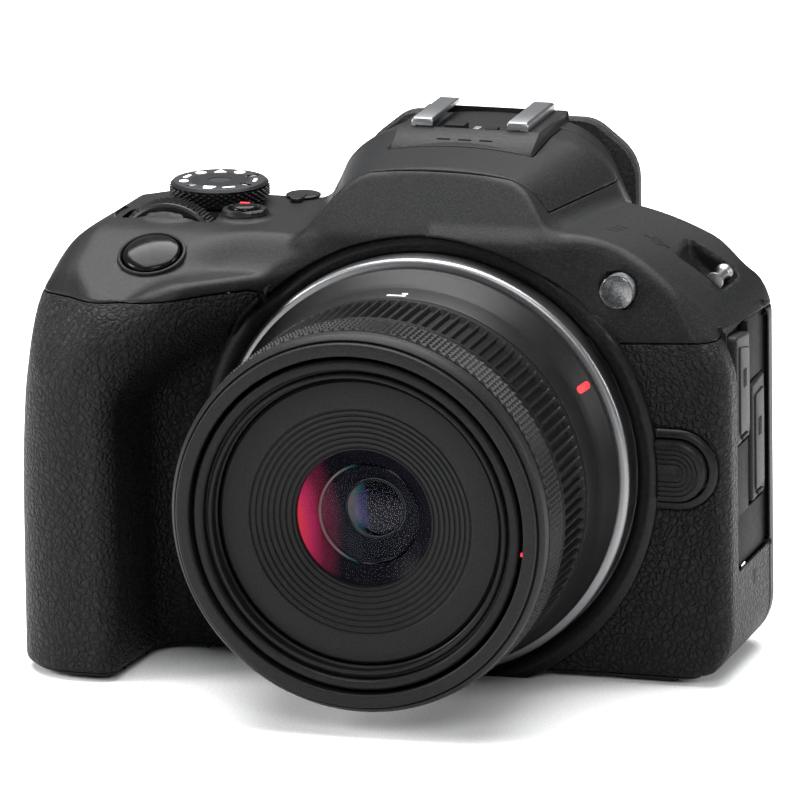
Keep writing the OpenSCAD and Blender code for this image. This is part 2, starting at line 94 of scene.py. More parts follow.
DECK = 71.0              # height of the top cover beside the dials
BACK = 14.0              # back face
FRONT_SKIN = -16.0       # front face beside the lens
RIGHT, LEFT = 50.2, -65.9    # sides of the body and of the grip
TILT = math.radians(24)  # of the shutter button, towards the front
SHUTTER_AXIS = np.array([0, -math.sin(TILT), math.cos(TILT)])
SHUTTER = np.array([-45.2, -20.0, 68.0])
MAIN_DIAL = np.array([-46.8, -4.5, 64.4])
MODE_DIAL = np.array([-42.0, 6.5, DECK])
MOVIE = np.array([-34.6, -3.2, DECK])
LAMP = np.array([31.3, -13.0, 64.6])
RELEASE = (41.8, 36.3)   # x and z of the lens release's round end
LUG_RIGHT = np.array([41.9, 3.2, 65.9])
LUG_LEFT = np.array([-61.8, 1.5, 66.5])
STRAP_BARS = ((43.8, 2.7, 63.8), (-61.6, 1.5, 65.3))
KEYPAD = (-43.0, BACK, 30.0)
# node, x, z and radius
REAR_BUTTONS = (("ae_lock_button", -53.5, 52.5, 2.2), ("af_point_button", -45, 53.5, 2.2),
                ("info_button", -33, 45, 2.6), ("menu_button", -51, 13.5, 2.6),
                ("playback_button", -35, 13.5, 2.6))
# rectangles, from the lowest to the highest corner: x and z, then y and z for the bay, x and y for the door
SCREEN_FRAME = ((-26.0, 4.55), (48.0, 56.95))
SCREEN_HOLE = ((-22.0, 8.0), (44.0, 53.5))
PORT_BAY = ((-10.0, 18.3), (9.5, 57.5))
DOOR = ((-62.8, -30.0), (-38.6, 10.5))
DOOR_GAP = 0.2           # the doorway is this much larger than the door


def hump_half(y, z):
    """Half width of the viewfinder hump."""
    back = np.clip(y + 8, 0, 23)
    half = 14.5 + 0.29 * back + (80 - z) * (0.85 - 0.018 * back)
    return np.minimum(half, 25.5) - 0.28 * np.maximum(y - 16, 0)


def hump(x, y, z):
    """The viewfinder hump, with the plain panel on its front."""
    crown = 81.7 + 0.1 * np.clip(y + 8, 0, 22) - 0.0071 * x * x
    flank = (np.abs(x) - hump_half(y, z)) * 0.78
    body = both(flank, z - crown, 2.0 + 0.11 * np.clip(y + 8, 0, 20))
    back_off = 0.86 * ramp(z - 71.5, 0.8) + 0.4 * ramp(np.abs(x) - 17.5, 2.0)
    front = -(y + 16.4 - back_off) * 0.76
    body = both(body, front, 0.6)
    body = both(body, y - 27.0, 2.0)
    return both(body, 66.0 - z, 1.0)


def deck_height(x, y):
    """Height of the top cover beside the hump."""
    plateau = SHUTTER[2] + math.tan(TILT) * (y - SHUTTER[1])
    plateau = DECK - ramp(DECK - plateau, 1.2)
    valley = DECK - 5.2 * step(-y, 12.0, 20.5)
    edge = -38.0 + 0.5 * np.clip(y + 16, -16, 8)
    left = plateau + (valley - plateau) * step(x - edge, -1.5, 6.5)
    out = np.maximum(x - 19.4, 0)
    right = 73.4 - 0.0188 * out ** 2 * (1 - 0.017 * np.clip(y + 9, 0, 22))
    return np.where(x < 0, left, right)


def front_face(x, z):
    """Place of the front skin, without the grip."""
    over = ramp(z - 57, 2.0) * 0.38
    left = ramp(z - 61, 2.0) * 0.45 + 1.2 * step(-x, 18, 26)
    centre = ramp(z - 71.5, 0.8) * 0.86 - 0.4
    side = np.where(x > 0, over, left)
    middle = 1 - step(np.abs(x), 15, 33)
    return FRONT_SKIN + side + (centre - side) * middle


def grip(x, y, z):
    """Prism of the hand grip: a narrow bar below, a shelf for the middle finger above."""
    turn = np.radians(4.5 + 42.2 * step(z, 43, 62))
    inner = np.cos(turn) * (x + 48.2) - np.sin(turn) * (y + 41.4)
    front = -36.4 - y
    return both(inner, front, 3.0 + 3.5 * step(z, 45, 62))


def grip_side(x, y, z):
    """Outer side of the grip."""
    lean = 0.09 * ramp(z - 38, 10) + 0.07 * ramp(y + 14, 4)
    return (LEFT + lean - x) * 0.97


def lug_recess(x, y, z, side):
    """The hollow round a strap lug."""
    centre = LUG_RIGHT if side > 0 else LUG_LEFT
    turn = math.radians(36 if side > 0 else -52)
    u = (x - centre[0]) * math.cos(turn) + (z - centre[2]) * -math.sin(turn)
    w = (x - centre[0]) * math.sin(turn) + (z - centre[2]) * math.cos(turn)
    along = np.abs(u) - 4.9
    wide = np.abs(y - centre[1]) - 3.8
    return both(both(along, wide, 1.2), -w - 3.2 + 0.09 * u * u, 1.0)


def body_field(x, y, z):
    """The whole body: skin, grip, deck and hump, with the hollows of the controls."""
    slab = front_face(x, z) - y
    front = either(slab, grip(x, y, z), 5.0)
    body = both(front, grip_side(x, y, z), 11.0 + 3 * step(z, 45, 62))
    body = both(body, y - BACK, 4.0)
    body = both(body, both(x - RIGHT, -z, 9.0), 2.6)
    body = both(body, -z, 2.2)
    top = (z - deck_height(x, y)) * 0.93
    soft = 1.6 + 6.0 * step(-x, 50, 58) + 4.0 * step(x, 40, 47) + 3.6 * step(-y, 22, 30) * step(-x, 36, 42)
    body = both(body, top, soft)
    body = either(body, hump(x, y, z), 1.5)
    # collars and hollows of the controls on top
    collar = tube_field(x, y, z, MOVIE, UP, 3.6, -3, 1.5)
    body = either(body, collar, 1.6)
    body = without(body, tube_field(x, y, z, MOVIE, UP, 2.6, -1, 4), 0.3)
    body = without(body, tube_field(x, y, z, SHUTTER, SHUTTER_AXIS, 5.15, -3, 6), 0.5)
    body = without(body, tube_field(x, y, z, MAIN_DIAL, BACKWARD, 9.9, -2.9, 2.6), 0.4)
    crescent = np.hypot(x - MAIN_DIAL[0], z - MAIN_DIAL[2]) - 8.0 + 0.9 * ramp(-7.6 - y, 0.4)
    body = either(body, both(crescent * 0.75, y + 7.2, 0.4), 0.5)
    body = without(body, tube_field(x, y, z, LAMP, BACKWARD, 2.95, -8, 1.2), 0.3)
    for side in (1, -1):
        body = without(body, lug_recess(x, y, z, side), 0.6)
    # back: screen frame and thumb rest
    bezel = both(box_field(x, z, *SCREEN_FRAME, 3.0), y - 16.6, 1.2)
    body = either(body, np.maximum(bezel, 8 - y), 0.8)
    thumb = np.hypot((x + 51) / 10.5, (z - 47) / 14.0)
    body = body - 2.2 * (1 - step(thumb, 0.25, 1.0)) * step(y, 8, 12)
    return body


# ---------- from field to mesh ----------

def surface(field, low, high, cell):
    """Points and triangles of a field's zero surface."""
    count = [int(round((b - a) / cell)) + 1 for a, b in zip(low, high)]
    x, y, z = (a + cell * np.arange(n) for a, n in zip(low, count))
    values = field(x[:, None, None], y[None, :, None], z[None, None, :])
    values = np.clip(values, -3 * cell, 3 * cell).astype(np.float32)
    grid = openvdb.FloatGrid(3.0 * cell)
    grid.copyFromArray(np.array(np.broadcast_to(values, count)))
    points, quads = grid.convertToQuads(0.0)
    points = points.astype(float) * cell + np.array(low)
    points = settle(points, field)
    a, b, c, d = quads.astype(int).T
    flip = np.linalg.norm(points[a] - points[c], axis=1) > np.linalg.norm(points[b] - points[d], axis=1)
    first = np.where(flip[:, None], np.c_[a, b, d], np.c_[a, b, c])
    second = np.where(flip[:, None], np.c_[b, c, d], np.c_[a, c, d])
    tris = np.r_[first, second]
    if volume(points, tris) < 0:
        tris = tris[:, ::-1]
    return points, tris


def volume(points, tris):
    a, b, c = (points[tris[:, i]] for i in range(3))
    return np.einsum("ij,ij->i", a, np.cross(b, c)).sum() / 6


def gradient(points, field):
    h = 0.05
    out = np.empty_like(points)
    for i in range(3):
        move = np.zeros(3)
        move[i] = h
        out[:, i] = (field(*(points + move).T) - field(*(points - move).T)) / (2 * h)
    return out


def settle(points, field):
    """Moves points onto the zero of the field."""
    for _ in range(2):
        g = gradient(points, field)
        size = np.maximum((g * g).sum(axis=1), 0.05)
        push = g * (field(*points.T) / size)[:, None]
        length = np.linalg.norm(push, axis=1)
        push *= np.minimum(1, 0.25 / np.maximum(length, 1e-9))[:, None]
        points = points - push
    return points


def cut(points, tris, value, level):
    """Splits the triangles that cross a level of value(points), so that edges run along it."""
    v = value(points)
    v = np.where(np.abs(v - level) < 0.02, level, v)
    above = v > level
    below = v < level
    side = above[tris].astype(int) - below[tris].astype(int)
    crossing = (side.max(axis=1) > 0) & (side.min(axis=1) < 0)
    whole = tris[~crossing]
    t = tris[crossing]
    s = side[crossing]
    if not len(t):
        return points, tris
    # turn each so that its first corner is alone on its side, or on the level
    total = s.sum(axis=1)
    odd = np.where(total[:, None] > 0, s < 0, np.where(total[:, None] < 0, s > 0, s == 0))
    first = odd.argmax(axis=1)
    rows = np.arange(len(t))
    a, b, c = (t[rows, (first + i) % 3] for i in range(3))
    even = total == 0
    pairs = np.r_[np.c_[a, b][~even], np.c_[a, c][~even], np.c_[b, c][even]]
    key = np.sort(pairs, axis=1)
    unique, index = np.unique(key, axis=0, return_inverse=True)
    index = index.ravel()
    p, q = unique.T
    share = ((level - v[p]) / (v[q] - v[p]))[:, None]
    fresh = points[p] * (1 - share) + points[q] * share
    n = len(points)
    k = (~even).sum()
    ab, ac, bc = n + index[:k], n + index[k:2 * k], n + index[2 * k:]
    a0, b0, c0 = a[~even], b[~even], c[~even]
    a1, b1, c1 = a[even], b[even], c[even]
    tris = np.r_[whole, np.c_[a0, ab, ac], np.c_[ab, b0, c0], np.c_[ab, c0, ac],
                 np.c_[a1, b1, bc], np.c_[a1, bc, c1]]
    return np.r_[points, fresh], tris


def normals(points, tris):
    a, b, c = (points[tris[:, i]] for i in range(3))
    face = np.cross(b - a, c - a)
    out = np.zeros_like(points)
    for i in range(3):
        np.add.at(out, tris[:, i], face)
    return out / np.maximum(np.linalg.norm(out, axis=1), 1e-12)[:, None]


def compact(points, tris):
    used = np.unique(tris)
    back = np.full(len(points), -1)
    back[used] = np.arange(len(used))
    return points[used], back[tris]


def shell(points, tris, inward, thick):
    """A closed shell: the sheet, the same sheet moved inward, and a rim between them."""
    inner = points - inward * thick
    n = len(points)
    edges = np.r_[tris[:, [0, 1]], tris[:, [1, 2]], tris[:, [2, 0]]]
    there = {(a, b) for a, b in edges.tolist()}
    rim = [(b, a, a + n, b + n) for a, b in edges.tolist() if (b, a) not in there]
    faces = tris.tolist() + (tris[:, ::-1] + n).tolist() + rim
    return np.r_[points, inner], faces


SEAM = 0.1               # half the gap between two parts of the casing, mm


def part_off(sheet, region, soft):
    """Cuts a sheet along the edge of region. Returns the part inside and the part outside,
    each with its edge rounded over soft."""
    points, tris = sheet
    for level in (SEAM, SEAM + 0.4 * soft, SEAM + soft, -SEAM, -SEAM - 0.1, -SEAM - 0.25):
        points, tris = cut(points, tris, region, level)
    inward = normals(points, tris)
    g = region(points)
    middle = g[tris].mean(axis=1)
    out = []
    for sign, width in ((1, soft), (-1, 0.25)):
        keep = tris[sign * middle > SEAM]
        near = np.clip(1 - (sign * g - SEAM) / width, 0, 1)
        drop = width * 0.7 * (1 - np.sqrt(1 - near * near))
        p, t = compact(points - inward * drop[:, None], keep)
        out.append((p, t))
    return out


def solid(name, shape, body, look, slot, nodes=(), sharp=35):
    """A Blender object from (points in mm, faces), riding on a body in place of the CAD nodes."""
    points, faces = shape
    mesh = bpy.data.meshes.new(name)
    mesh.from_pydata((np.asarray(points, float) * MM).tolist(), [], faces)
    mesh.validate()
    mesh.materials.append(M[look])
    mesh.polygons.foreach_set("use_smooth", [True] * len(mesh.polygons))
    mesh.set_sharp_from_angle(angle=math.radians(sharp))
    thing = bpy.data.objects.new(name, mesh)
    bpy.context.scene.collection.objects.link(thing)
    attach(thing, body)
    if nodes:
        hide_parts(*nodes)


# ---------- materials ----------

SHEEN = 0.11             # strength of the reflection off plastics


class Nodes:
    """Builds one node material round its Principled shader. Object coordinates are in metres."""

    def __init__(self, name, color=(0.5, 0.5, 0.5), rough=0.5, metal=0.0, **inputs):
        self.material = bpy.data.materials.new(name)
        self.material.use_nodes = True
        self.tree = self.material.node_tree
        self.shader = self.tree.nodes["Principled BSDF"]
        self.set("Base Color", (*color, 1))
        self.set("Roughness", rough)
        self.set("Metallic", metal)
        self.set("Specular IOR Level", 0.5 if metal else SHEEN)
        for key, value in inputs.items():
            self.set(key.replace("_", " ").title(), value)
        self.place = self.node("ShaderNodeTexCoord").outputs["Object"]

    def set(self, socket, value):
        self.shader.inputs[socket].default_value = value

    def node(self, kind, links=(), **settings):
        made = self.tree.nodes.new(kind)
        for key, value in settings.items():
            if key in made.inputs:
                made.inputs[key].default_value = value
            else:
                setattr(made, key, value)
        for socket, source in dict(links).items():
            self.tree.links.new(source, made.inputs[socket])
        return made

    def noise(self, size_mm, detail=3.0, rough=0.5, vector=None):
        return self.node("ShaderNodeTexNoise", {"Vector": vector or self.place}, Scale=1000 / size_mm,
                         Detail=detail, Roughness=rough).outputs["Fac"]

    def cells(self, size_mm, vector):
        """Distance to the edges of irregular cells."""
        return self.node("ShaderNodeTexVoronoi", {"Vector": vector}, feature="DISTANCE_TO_EDGE",
                         Scale=1000 / size_mm).outputs["Distance"]

    def ramp(self, source, stops):
        made = self.node("ShaderNodeValToRGB", {"Fac": source})
        points = made.color_ramp.elements
        while len(points) < len(stops):
            points.new(0.5)
        for point, (place, color) in zip(points, stops):
            point.position = place
            point.color = (*color, 1)
        return made.outputs["Color"]

    def math(self, operation, a, b):
        made = self.node("ShaderNodeMath", operation=operation)
        for socket, value in zip(made.inputs, (a, b)):
            if isinstance(value, (int, float)):
                socket.default_value = value
            else:
                self.tree.links.new(value, socket)
        return made.outputs[0]

    def link(self, source, socket):
        self.tree.links.new(source, self.shader.inputs[socket])

    def grain(self, source, low, high):
        """Roughness that follows a pattern."""
        made = self.node("ShaderNodeMapRange", {"Value": source}, **{"To Min": low, "To Max": high})
        self.link(made.outputs["Result"], "Roughness")

    def bump(self, source, depth_mm):
        made = self.node("ShaderNodeBump", {"Height": source}, Distance=depth_mm * MM, Strength=1.0)
        self.link(made.outputs["Normal"], "Normal")


def grey(value, tint=0.06):
    return (value, value * (1 + tint / 4), value * (1 + tint))


def moulded(name, value, rough, speck=0.35, depth=0.03, coat=0.0):
    """Fine-textured moulded plastic: speckled colour, uneven gloss and a slight grain."""
    m = Nodes(name, rough=rough, coat_weight=coat, coat_roughness=0.25)
    fine = m.noise(speck, 4, 0.6)
    color = m.ramp(fine, [(0.3, grey(value * 0.45)), (0.5, grey(value)), (0.7, grey(value * 2.2))])
    m.link(color, "Base Color")
    m.grain(m.noise(speck * 1.7, 3), rough - 0.09, rough + 0.09)
    m.bump(fine, depth)
    return m.material


def leatherette():
    m = Nodes("leatherette", rough=0.5)
    warp = m.node("ShaderNodeTexNoise", {"Vector": m.place}, Scale=420, Detail=2)
    shift = m.node("ShaderNodeVectorMath", {0: warp.outputs["Color"]}, operation="SCALE", Scale=0.0011)
    moved = m.node("ShaderNodeVectorMath", {0: m.place, 1: shift.outputs[0]}, operation="ADD").outputs[0]
    big = m.cells(1.15, moved)
    small = m.cells(0.62, moved)
    pebble = m.math("MINIMUM", big, 0.26)
    fine = m.math("MULTIPLY", m.math("MINIMUM", small, 0.2), 0.45)
    height = m.math("ADD", m.math("ADD", pebble, fine), m.math("MULTIPLY", m.noise(0.9, 3), 0.22))
    # painted shade: the base colour is darkest in the creases between the pebbles and lightest on their
    # tops
    m.link(m.ramp(height, [(0.12, grey(0.003)), (0.3, grey(0.006)), (0.5, grey(0.009))]), "Base Color")
    m.grain(height, 0.55, 0.36)
    m.bump(height, 0.8)
    return m.material


def satin_metal(name, value, rough, stretch=None):
    m = Nodes(name, grey(value, 0.03), rough, 1.0)
    place = m.place
    if stretch:
        scale = m.node("ShaderNodeVectorMath", {0: m.place}, operation="MULTIPLY")
        scale.inputs[1].default_value = stretch
        place = scale.outputs[0]
    fine = m.noise(0.25, 4, 0.6, place)
    m.link(m.ramp(fine, [(0.3, grey(value * 0.8, 0.03)), (0.7, grey(value, 0.03))]), "Base Color")
    m.grain(fine, rough - 0.06, rough + 0.1)
    m.bump(fine, 0.012)
    return m.material


def painted(name, color, rough):
    """Coloured paint or moulding with slight unevenness."""
    m = Nodes(name, color, rough)
    fine = m.noise(0.4, 3)
    m.link(m.ramp(fine, [(0.3, tuple(c * 0.82 for c in color)), (0.7, color)]), "Base Color")
    m.grain(fine, rough - 0.05, rough + 0.08)
    return m.material


def clear_glass(name, tint, share, rough=0.02):
    """Thin coated glass: mostly see-through, with a tinted reflection."""
    m = Nodes(name, tint, rough)
    tree = m.tree
    through = m.node("ShaderNodeBsdfTransparent")
    gloss = m.node("ShaderNodeBsdfGlossy", Roughness=rough)
    wave = m.noise(40, 0)
    tree.links.new(m.ramp(wave, [(0.35, tint), (0.65, tuple(0.6 * c + 0.25 for c in tint))]),
                   gloss.inputs["Color"])
    rim = m.node("ShaderNodeFresnel", IOR=1.45)
    fac = m.math("MULTIPLY", rim.outputs[0], share)
    mix = m.node("ShaderNodeMixShader", {0: fac, 1: through.outputs[0], 2: gloss.outputs[0]})
    tree.links.new(mix.outputs[0], tree.nodes["Material Output"].inputs["Surface"])
    return m.material


def lens_cavity():
    """Black inside of the lens, with a painted red reflection of the coating low on the grip side, made to
    glow by emission.
    """
    m = Nodes("lens_cavity", (0.002, 0.002, 0.003), 0.3)
    split = m.node("ShaderNodeSeparateXYZ", {0: m.place})
    across = m.math("ADD", m.math("MULTIPLY", split.outputs["X"], -1.0),
                    m.math("MULTIPLY", m.math("SUBTRACT", split.outputs["Z"], AXIS_Z * MM), -0.12))
    share = m.math("MULTIPLY", across, 85.0)
    soft = m.math("ADD", share, m.math("MULTIPLY", m.noise(3, 2), 0.06))
    # painted reflection: red emission and a reddish base colour on the grip side stand in for the coating's
    # glint
    painted_red_reflection = m.ramp(soft, [(0.5, (0.0, 0.0, 0.0)), (0.72, (0.05, 0.002, 0.012)),
                         (0.86, (0.32, 0.012, 0.07)), (0.97, (0.55, 0.03, 0.05))])
    m.link(painted_red_reflection, "Emission Color")
    m.set("Emission Strength", 0.8)
    m.set("Specular IOR Level", 0.02)
    m.link(m.ramp(soft, [(0.5, (0.002, 0.002, 0.003)), (0.95, (0.08, 0.004, 0.012))]), "Base Color")
    return m.material


def element_painted_reflection(name, first, second, start):
    """Inner element: black, with a painted reflection of its coating's colour on one side, made to glow by
    emission and tinted into the base colour.
    """
    m = Nodes(name, (0.001, 0.001, 0.002), 0.12)
    split = m.node("ShaderNodeSeparateXYZ", {0: m.place})
    side = m.math("MULTIPLY", split.outputs["X"], -120.0)
    fade = m.math("ADD", side, m.math("MULTIPLY", m.noise(2.2, 2), 0.12))
    # painted reflection: emission and base colour turn from black to the coating's colours towards one side
    m.link(m.ramp(fade, [(start, (0, 0, 0)), (start + 0.18, first), (start + 0.42, second)]),
           "Emission Color")
    m.set("Emission Strength", 0.35)
    m.link(m.ramp(fade, [(start, (0.001, 0.001, 0.002)), (start + 0.4, tuple(c * 0.3 for c in first))]),
           "Base Color")
    return m.material


def spun_top():
    """Fine circular turning marks round the mode dial's axis."""
    m = Nodes("spun_top", rough=0.34)
    centred = m.node("ShaderNodeVectorMath", {0: m.place}, operation="SUBTRACT")
    centred.inputs[1].default_value = (MODE_DIAL[0] * MM, MODE_DIAL[1] * MM, 0)
    flat = m.node("ShaderNodeVectorMath", {0: centred.outputs[0]}, operation="MULTIPLY")
    flat.inputs[1].default_value = (1, 1, 0)
    radius = m.node("ShaderNodeVectorMath", {0: flat.outputs[0]}, operation="LENGTH").outputs["Value"]
    rings = m.node("ShaderNodeTexNoise", {"W": radius}, noise_dimensions="1D", Scale=6000).outputs["Fac"]
    m.link(m.ramp(rings, [(0.35, grey(0.012)), (0.65, grey(0.03))]), "Base Color")
    m.grain(rings, 0.28, 0.42)
    m.bump(rings, 0.012)
    return m.material


M = {
    "body": moulded("body_plastic", 0.006, 0.45),
    "leather": leatherette(),
    "lens": moulded("lens_plastic", 0.0045, 0.4, 0.3, 0.02),
    "lens_front": moulded("lens_front_ring", 0.007, 0.44, 0.25, 0.02),
    "bezel": moulded("bezel_plastic", 0.006, 0.46, 0.25, 0.02),
    "dial": moulded("dial_plastic", 0.009, 0.34, 0.25, 0.012),
    "button": moulded("button_plastic", 0.006, 0.32, 0.4, 0.008),
    "gloss": moulded("gloss_black", 0.003, 0.17, 0.8, 0.002),
    "dark": moulded("inner_black", 0.002, 0.6, 0.4, 0.02),
    "silver": satin_metal("bright_metal", 0.2, 0.34),
    "steel": satin_metal("steel", 0.5, 0.3, (1, 0.1, 1)),
    "gold": satin_metal("contact_gold", 0.6, 0.25),
    "alloy": satin_metal("magnesium", 0.3, 0.5),
    "white": painted("white_mark", (0.8, 0.8, 0.8), 0.5),
    "red": painted("red_mark", (0.75, 0.035, 0.04), 0.4),
    "board": painted("circuit_board", (0.01, 0.07, 0.035), 0.5),
    "cell": painted("battery_case", (0.03, 0.032, 0.036), 0.5),
    "spun": spun_top(),
    "lamp": moulded("lamp_grey", 0.1, 0.2, 1.2, 0.02),
    "flap": moulded("flap_rubber", 0.009, 0.5, 0.3, 0.02),
    "eyecup": moulded("eyecup_rubber", 0.02, 0.65, 0.3, 0.05),
    "sensor": painted("sensor_cover", (0.05, 0.12, 0.14), 0.12),
    "front_glass": clear_glass("front_glass", (0.4, 0.45, 0.9), 0.05),
    "inner_glass": clear_glass("inner_glass", (0.35, 0.5, 0.6), 0.08),
    "lamp_glass": clear_glass("lamp_glass", (0.9, 0.9, 0.9), 1.6, 0.08),
    "cavity": lens_cavity(),
    # teal and violet painted reflections on the inner elements, drawn as emission
    "teal_painted_reflection": element_painted_reflection("teal_element_painted_reflection", (0.02, 0.1, 0.11), (0.35, 0.16, 0.12), 0.25),
    "violet_painted_reflection": element_painted_reflection("violet_element_painted_reflection", (0.015, 0.01, 0.09), (0.22, 0.13, 0.2), 0.12),
    "screen_glass": moulded("screen_glass", 0.004, 0.07, 2.0, 0.001, 1.0),
}


# ---------- casing ----------

def xyz(function):
    """A field of x, y and z as a function of points."""
    return lambda points: function(*points.T)


def seam_height(x, y):
    """Lower edge of the top cover."""
    grip_line = np.interp(x, [-66, -60, -50, -41, -33, -28, -25, -22],
                          [61.6, 62.2, 62.6, 63.2, 63.6, 63.5, 62.3, 60.5])
    grip_line = grip_line - 3.6 * step(y, -16, 8)
    return np.where(x < -10, grip_line, 56.4 + 0.05 * (x - 29.6))


def upper_region(x, y, z):
    """Top cover. Like every region here, it is positive inside."""
    return z - seam_height(x, y)


def leather_region(x, y, z):
    from_axis = np.hypot(x, z - AXIS_Z)
    wrap = np.where(x < 0, 3.5 - y, 9.5 - y)
    inside = np.minimum(np.minimum(from_axis - 38.2, wrap), z - 1.3)
    beside_ports = np.maximum(47.9 - x, np.maximum(-9.7 - y, 18.6 - z))
    inside = np.minimum(inside, beside_ports)
    return np.minimum(inside, np.where(x > 0, release_outline(x, z) - 1.5, 9))


def release_outline(x, z):
    """Distance outside the lens release button, seen from the front."""
    return np.hypot(np.maximum(x - RELEASE[0], 0), np.abs(z - RELEASE[1])) - 5.1


def lid_region(x, y, z):
    housing = np.maximum(np.abs(x) - 12.3, 4.0 - y)
    return np.minimum(np.minimum(z - 75.6, y + 7.7), np.minimum(20.6 - y, housing))


def door_region(x, y, z):
    return DOOR_GAP - box_field(x, y, *DOOR, 2.8)


def casing_piece(name, part, node, thick=1.4, body="body", look="body", slot="body_plastic"):
    """A part of the casing's sheet, thickened inward, in place of a CAD node."""
    solid(name, shell(*part, normals(*part), thick), body, look, slot, (node,))


def mount_hole(x, y, z):
    return np.minimum(37.4 - np.hypot(x, z - AXIS_Z), -10 - y)


def screen_hole(x, y, z):
    return -both(box_field(x, z, *SCREEN_HOLE, 1.0), 13.5 - y, 0)


def port_hole(x, y, z):
    return -both(box_field(y, z, *PORT_BAY, 1.0), 47.0 - x, 0)


def release_hole(x, y, z):
    return np.minimum(np.minimum(0.2 - release_outline(x, z), x - 30), -10 - y)


def button_holes(x, y, z):
    """Holes in the back for the buttons and the keypad."""
    inside = 9.3 - np.hypot(x - KEYPAD[0], z - KEYPAD[2])
    for _, at_x, at_z, radius in REAR_BUTTONS:
        inside = np.maximum(inside, radius + 0.1 - np.hypot(x - at_x, z - at_z))
    return np.minimum(inside, y - 9)


def build_casing():
    sheet = surface(body_field, (-68.6, -38.5, -1.4), (52.5, 29.4, 86.1), GRID)
    for hole in (mount_hole, screen_hole, port_hole, release_hole, button_holes):
        sheet = part_off(sheet, xyz(hole), 0.25)[1]
    upper, lower = part_off(sheet, xyz(upper_region), 0.3)
    lid, upper = part_off(upper, xyz(lid_region), 0.3)
    leather, lower = part_off(lower, xyz(leather_region), 0.5)
    grip_skin, front_skin = part_off(leather, xyz(lambda x, y, z: -x), 0.2)
    base, lower = part_off(lower, xyz(lambda x, y, z: 1.2 - z), 0.25)
    door, base = part_off(base, xyz(door_region), 0.2)
    front, rear = part_off(lower, xyz(lambda x, y, z: -0.2 - y), 0.25)
    casing_piece("top_shell", upper, "top_cover")
    casing_piece("flash_lid", lid, "flash_head", body="flash")
    for name, skin in (("grip", grip_skin), ("front", front_skin)):
        casing_piece(name + "_skin", skin, name + "_leatherette", 0.7, look="leather", slot="leatherette")
    casing_piece("front_shell", front, "front_cover")
    casing_piece("rear_shell", rear, "rear_cover")
    casing_piece("base_shell", base, "bottom_cover", 1.0)
    casing_piece("door_shell", door, "battery_door", 1.2, body="battery_door")


# ---------- turned parts ----------

def basis(axis):
    """Two directions across an axis, and the axis, as unit vectors."""
    n = np.array(axis, float) / np.linalg.norm(axis)
    first = np.cross((0, 0, 1) if abs(n[2]) < 0.9 else (0, 1, 0), n)
    first /= np.linalg.norm(first)
    return first, np.cross(n, first), n


def soften(profile, radius=0.12):
    """The same closed outline with each corner cut by a short arc of three points."""
    out = []
    count = len(profile)
    for i, p in enumerate(profile):
        p = np.array(p, float)
        if p[0] < 1e-6:
            out.append(p)
            continue
        before, after = np.array(profile[i - 1], float) - p, np.array(profile[(i + 1) % count], float) - p
        la, lb = np.linalg.norm(before), np.linalg.norm(after)
        r = min(radius, la / 2.1, lb / 2.1)
        a, b = p + before / la * r, p + after / lb * r
        out += [a, (a + b) / 4 + p / 2, b]
    return out


def lathe(profile, centre=THROAT, axis=FORWARD, segments=160, wave=None):
    """Turns a closed outline of (radius, distance) round an axis, by default the lens's.
    wave(angles, i) may give what to add to the radius and the distance of point i."""
    u, v, n = basis(axis)
    points, rings = [], []
    angles = np.arange(segments) * 2 * math.pi / segments
    for i, (r, d) in enumerate(profile):
        if r < 1e-6:
            rings.append([len(points)] * segments)
            points.append(np.array(centre) + n * d)
            continue
        rings.append(list(range(len(points), len(points) + segments)))
        more, shift = wave(angles, i) if wave else (0, 0)
        radius = r + more
        ring = (np.array(centre) + np.outer(d + shift + 0 * angles, n)
                + np.outer(np.cos(angles) * radius, u) + np.outer(np.sin(angles) * radius, v))
        points += list(ring)
    faces = []
    for a, b in zip(rings, rings[1:] + rings[:1]):
        if a[0] == a[-1] and b[0] == b[-1]:
            continue
        for k in range(segments):
            m = (k + 1) % segments
            face = [a[k], b[k], b[m], a[m]]
            faces.append(list(dict.fromkeys(face)))
    return points, outward(points, faces)


def turned(name, profile, body, look, slot, nodes=(), corner=0.0, **shape):
    """A turned piece. corner is the rounding of its outline; the rest goes to lathe."""
    outline = soften(profile, corner) if corner else profile
    solid(name, lathe(outline, **shape), body, look, slot, nodes)


def outward(points, faces):
    """The faces turned so that the solid's volume is positive."""
    p = np.array(points)
    total = 0.0
    for f in faces:
        a = p[f[0]]
        for i in range(1, len(f) - 1):
            total += np.dot(a, np.cross(p[f[i]], p[f[i + 1]]))
    return faces if total > 0 else [f[::-1] for f in faces]


def knurled(name, radius, depth, low, high, rows, count, cap, body, look, slot, centre=THROAT,
            axis=FORWARD):
    """A ring whose outside is a lattice of small pyramids. cap is the rest of its outline."""
    u, v, n = basis(axis)
    points, faces = [], []
    columns = 2 * count
    levels = 2 * rows + 1
    for j in range(levels):
        d = low + (high - low) * j / (levels - 1)
        for i in range(columns):
            t = math.pi * 2 * i / columns
            r = radius if (i + j) % 2 and 0 < j < levels - 1 else radius - depth
            points.append(np.array(centre) + n * d + (u * math.cos(t) + v * math.sin(t)) * r)
    for j in range(levels):
        for i in range(columns):
            if (i + j) % 2 == 0:
                continue
            c = j * columns + i
            left, right = j * columns + (i - 1) % columns, j * columns + (i + 1) % columns
            up, down = c + columns, c - columns
            if j < levels - 1:
                faces += [(c, right, up), (c, up, left)]
            if j > 0:
                faces += [(c, down, right), (c, left, down)]
    rings = []
    for r, d in cap:
        rings.append(list(range(len(points), len(points) + columns)))
        for i in range(columns):
            t = math.pi * 2 * i / columns
            points.append(np.array(centre) + n * d + (u * math.cos(t) + v * math.sin(t)) * r)
    order = [list(range((levels - 1) * columns, levels * columns))] + rings + [list(range(columns))]
    for a, b in zip(order, order[1:]):
        faces += [(a[k], a[(k + 1) % columns], b[(k + 1) % columns], b[k]) for k in range(columns)]
    solid(name, (points, outward(points, faces)), body, look, slot, (body,), sharp=18)


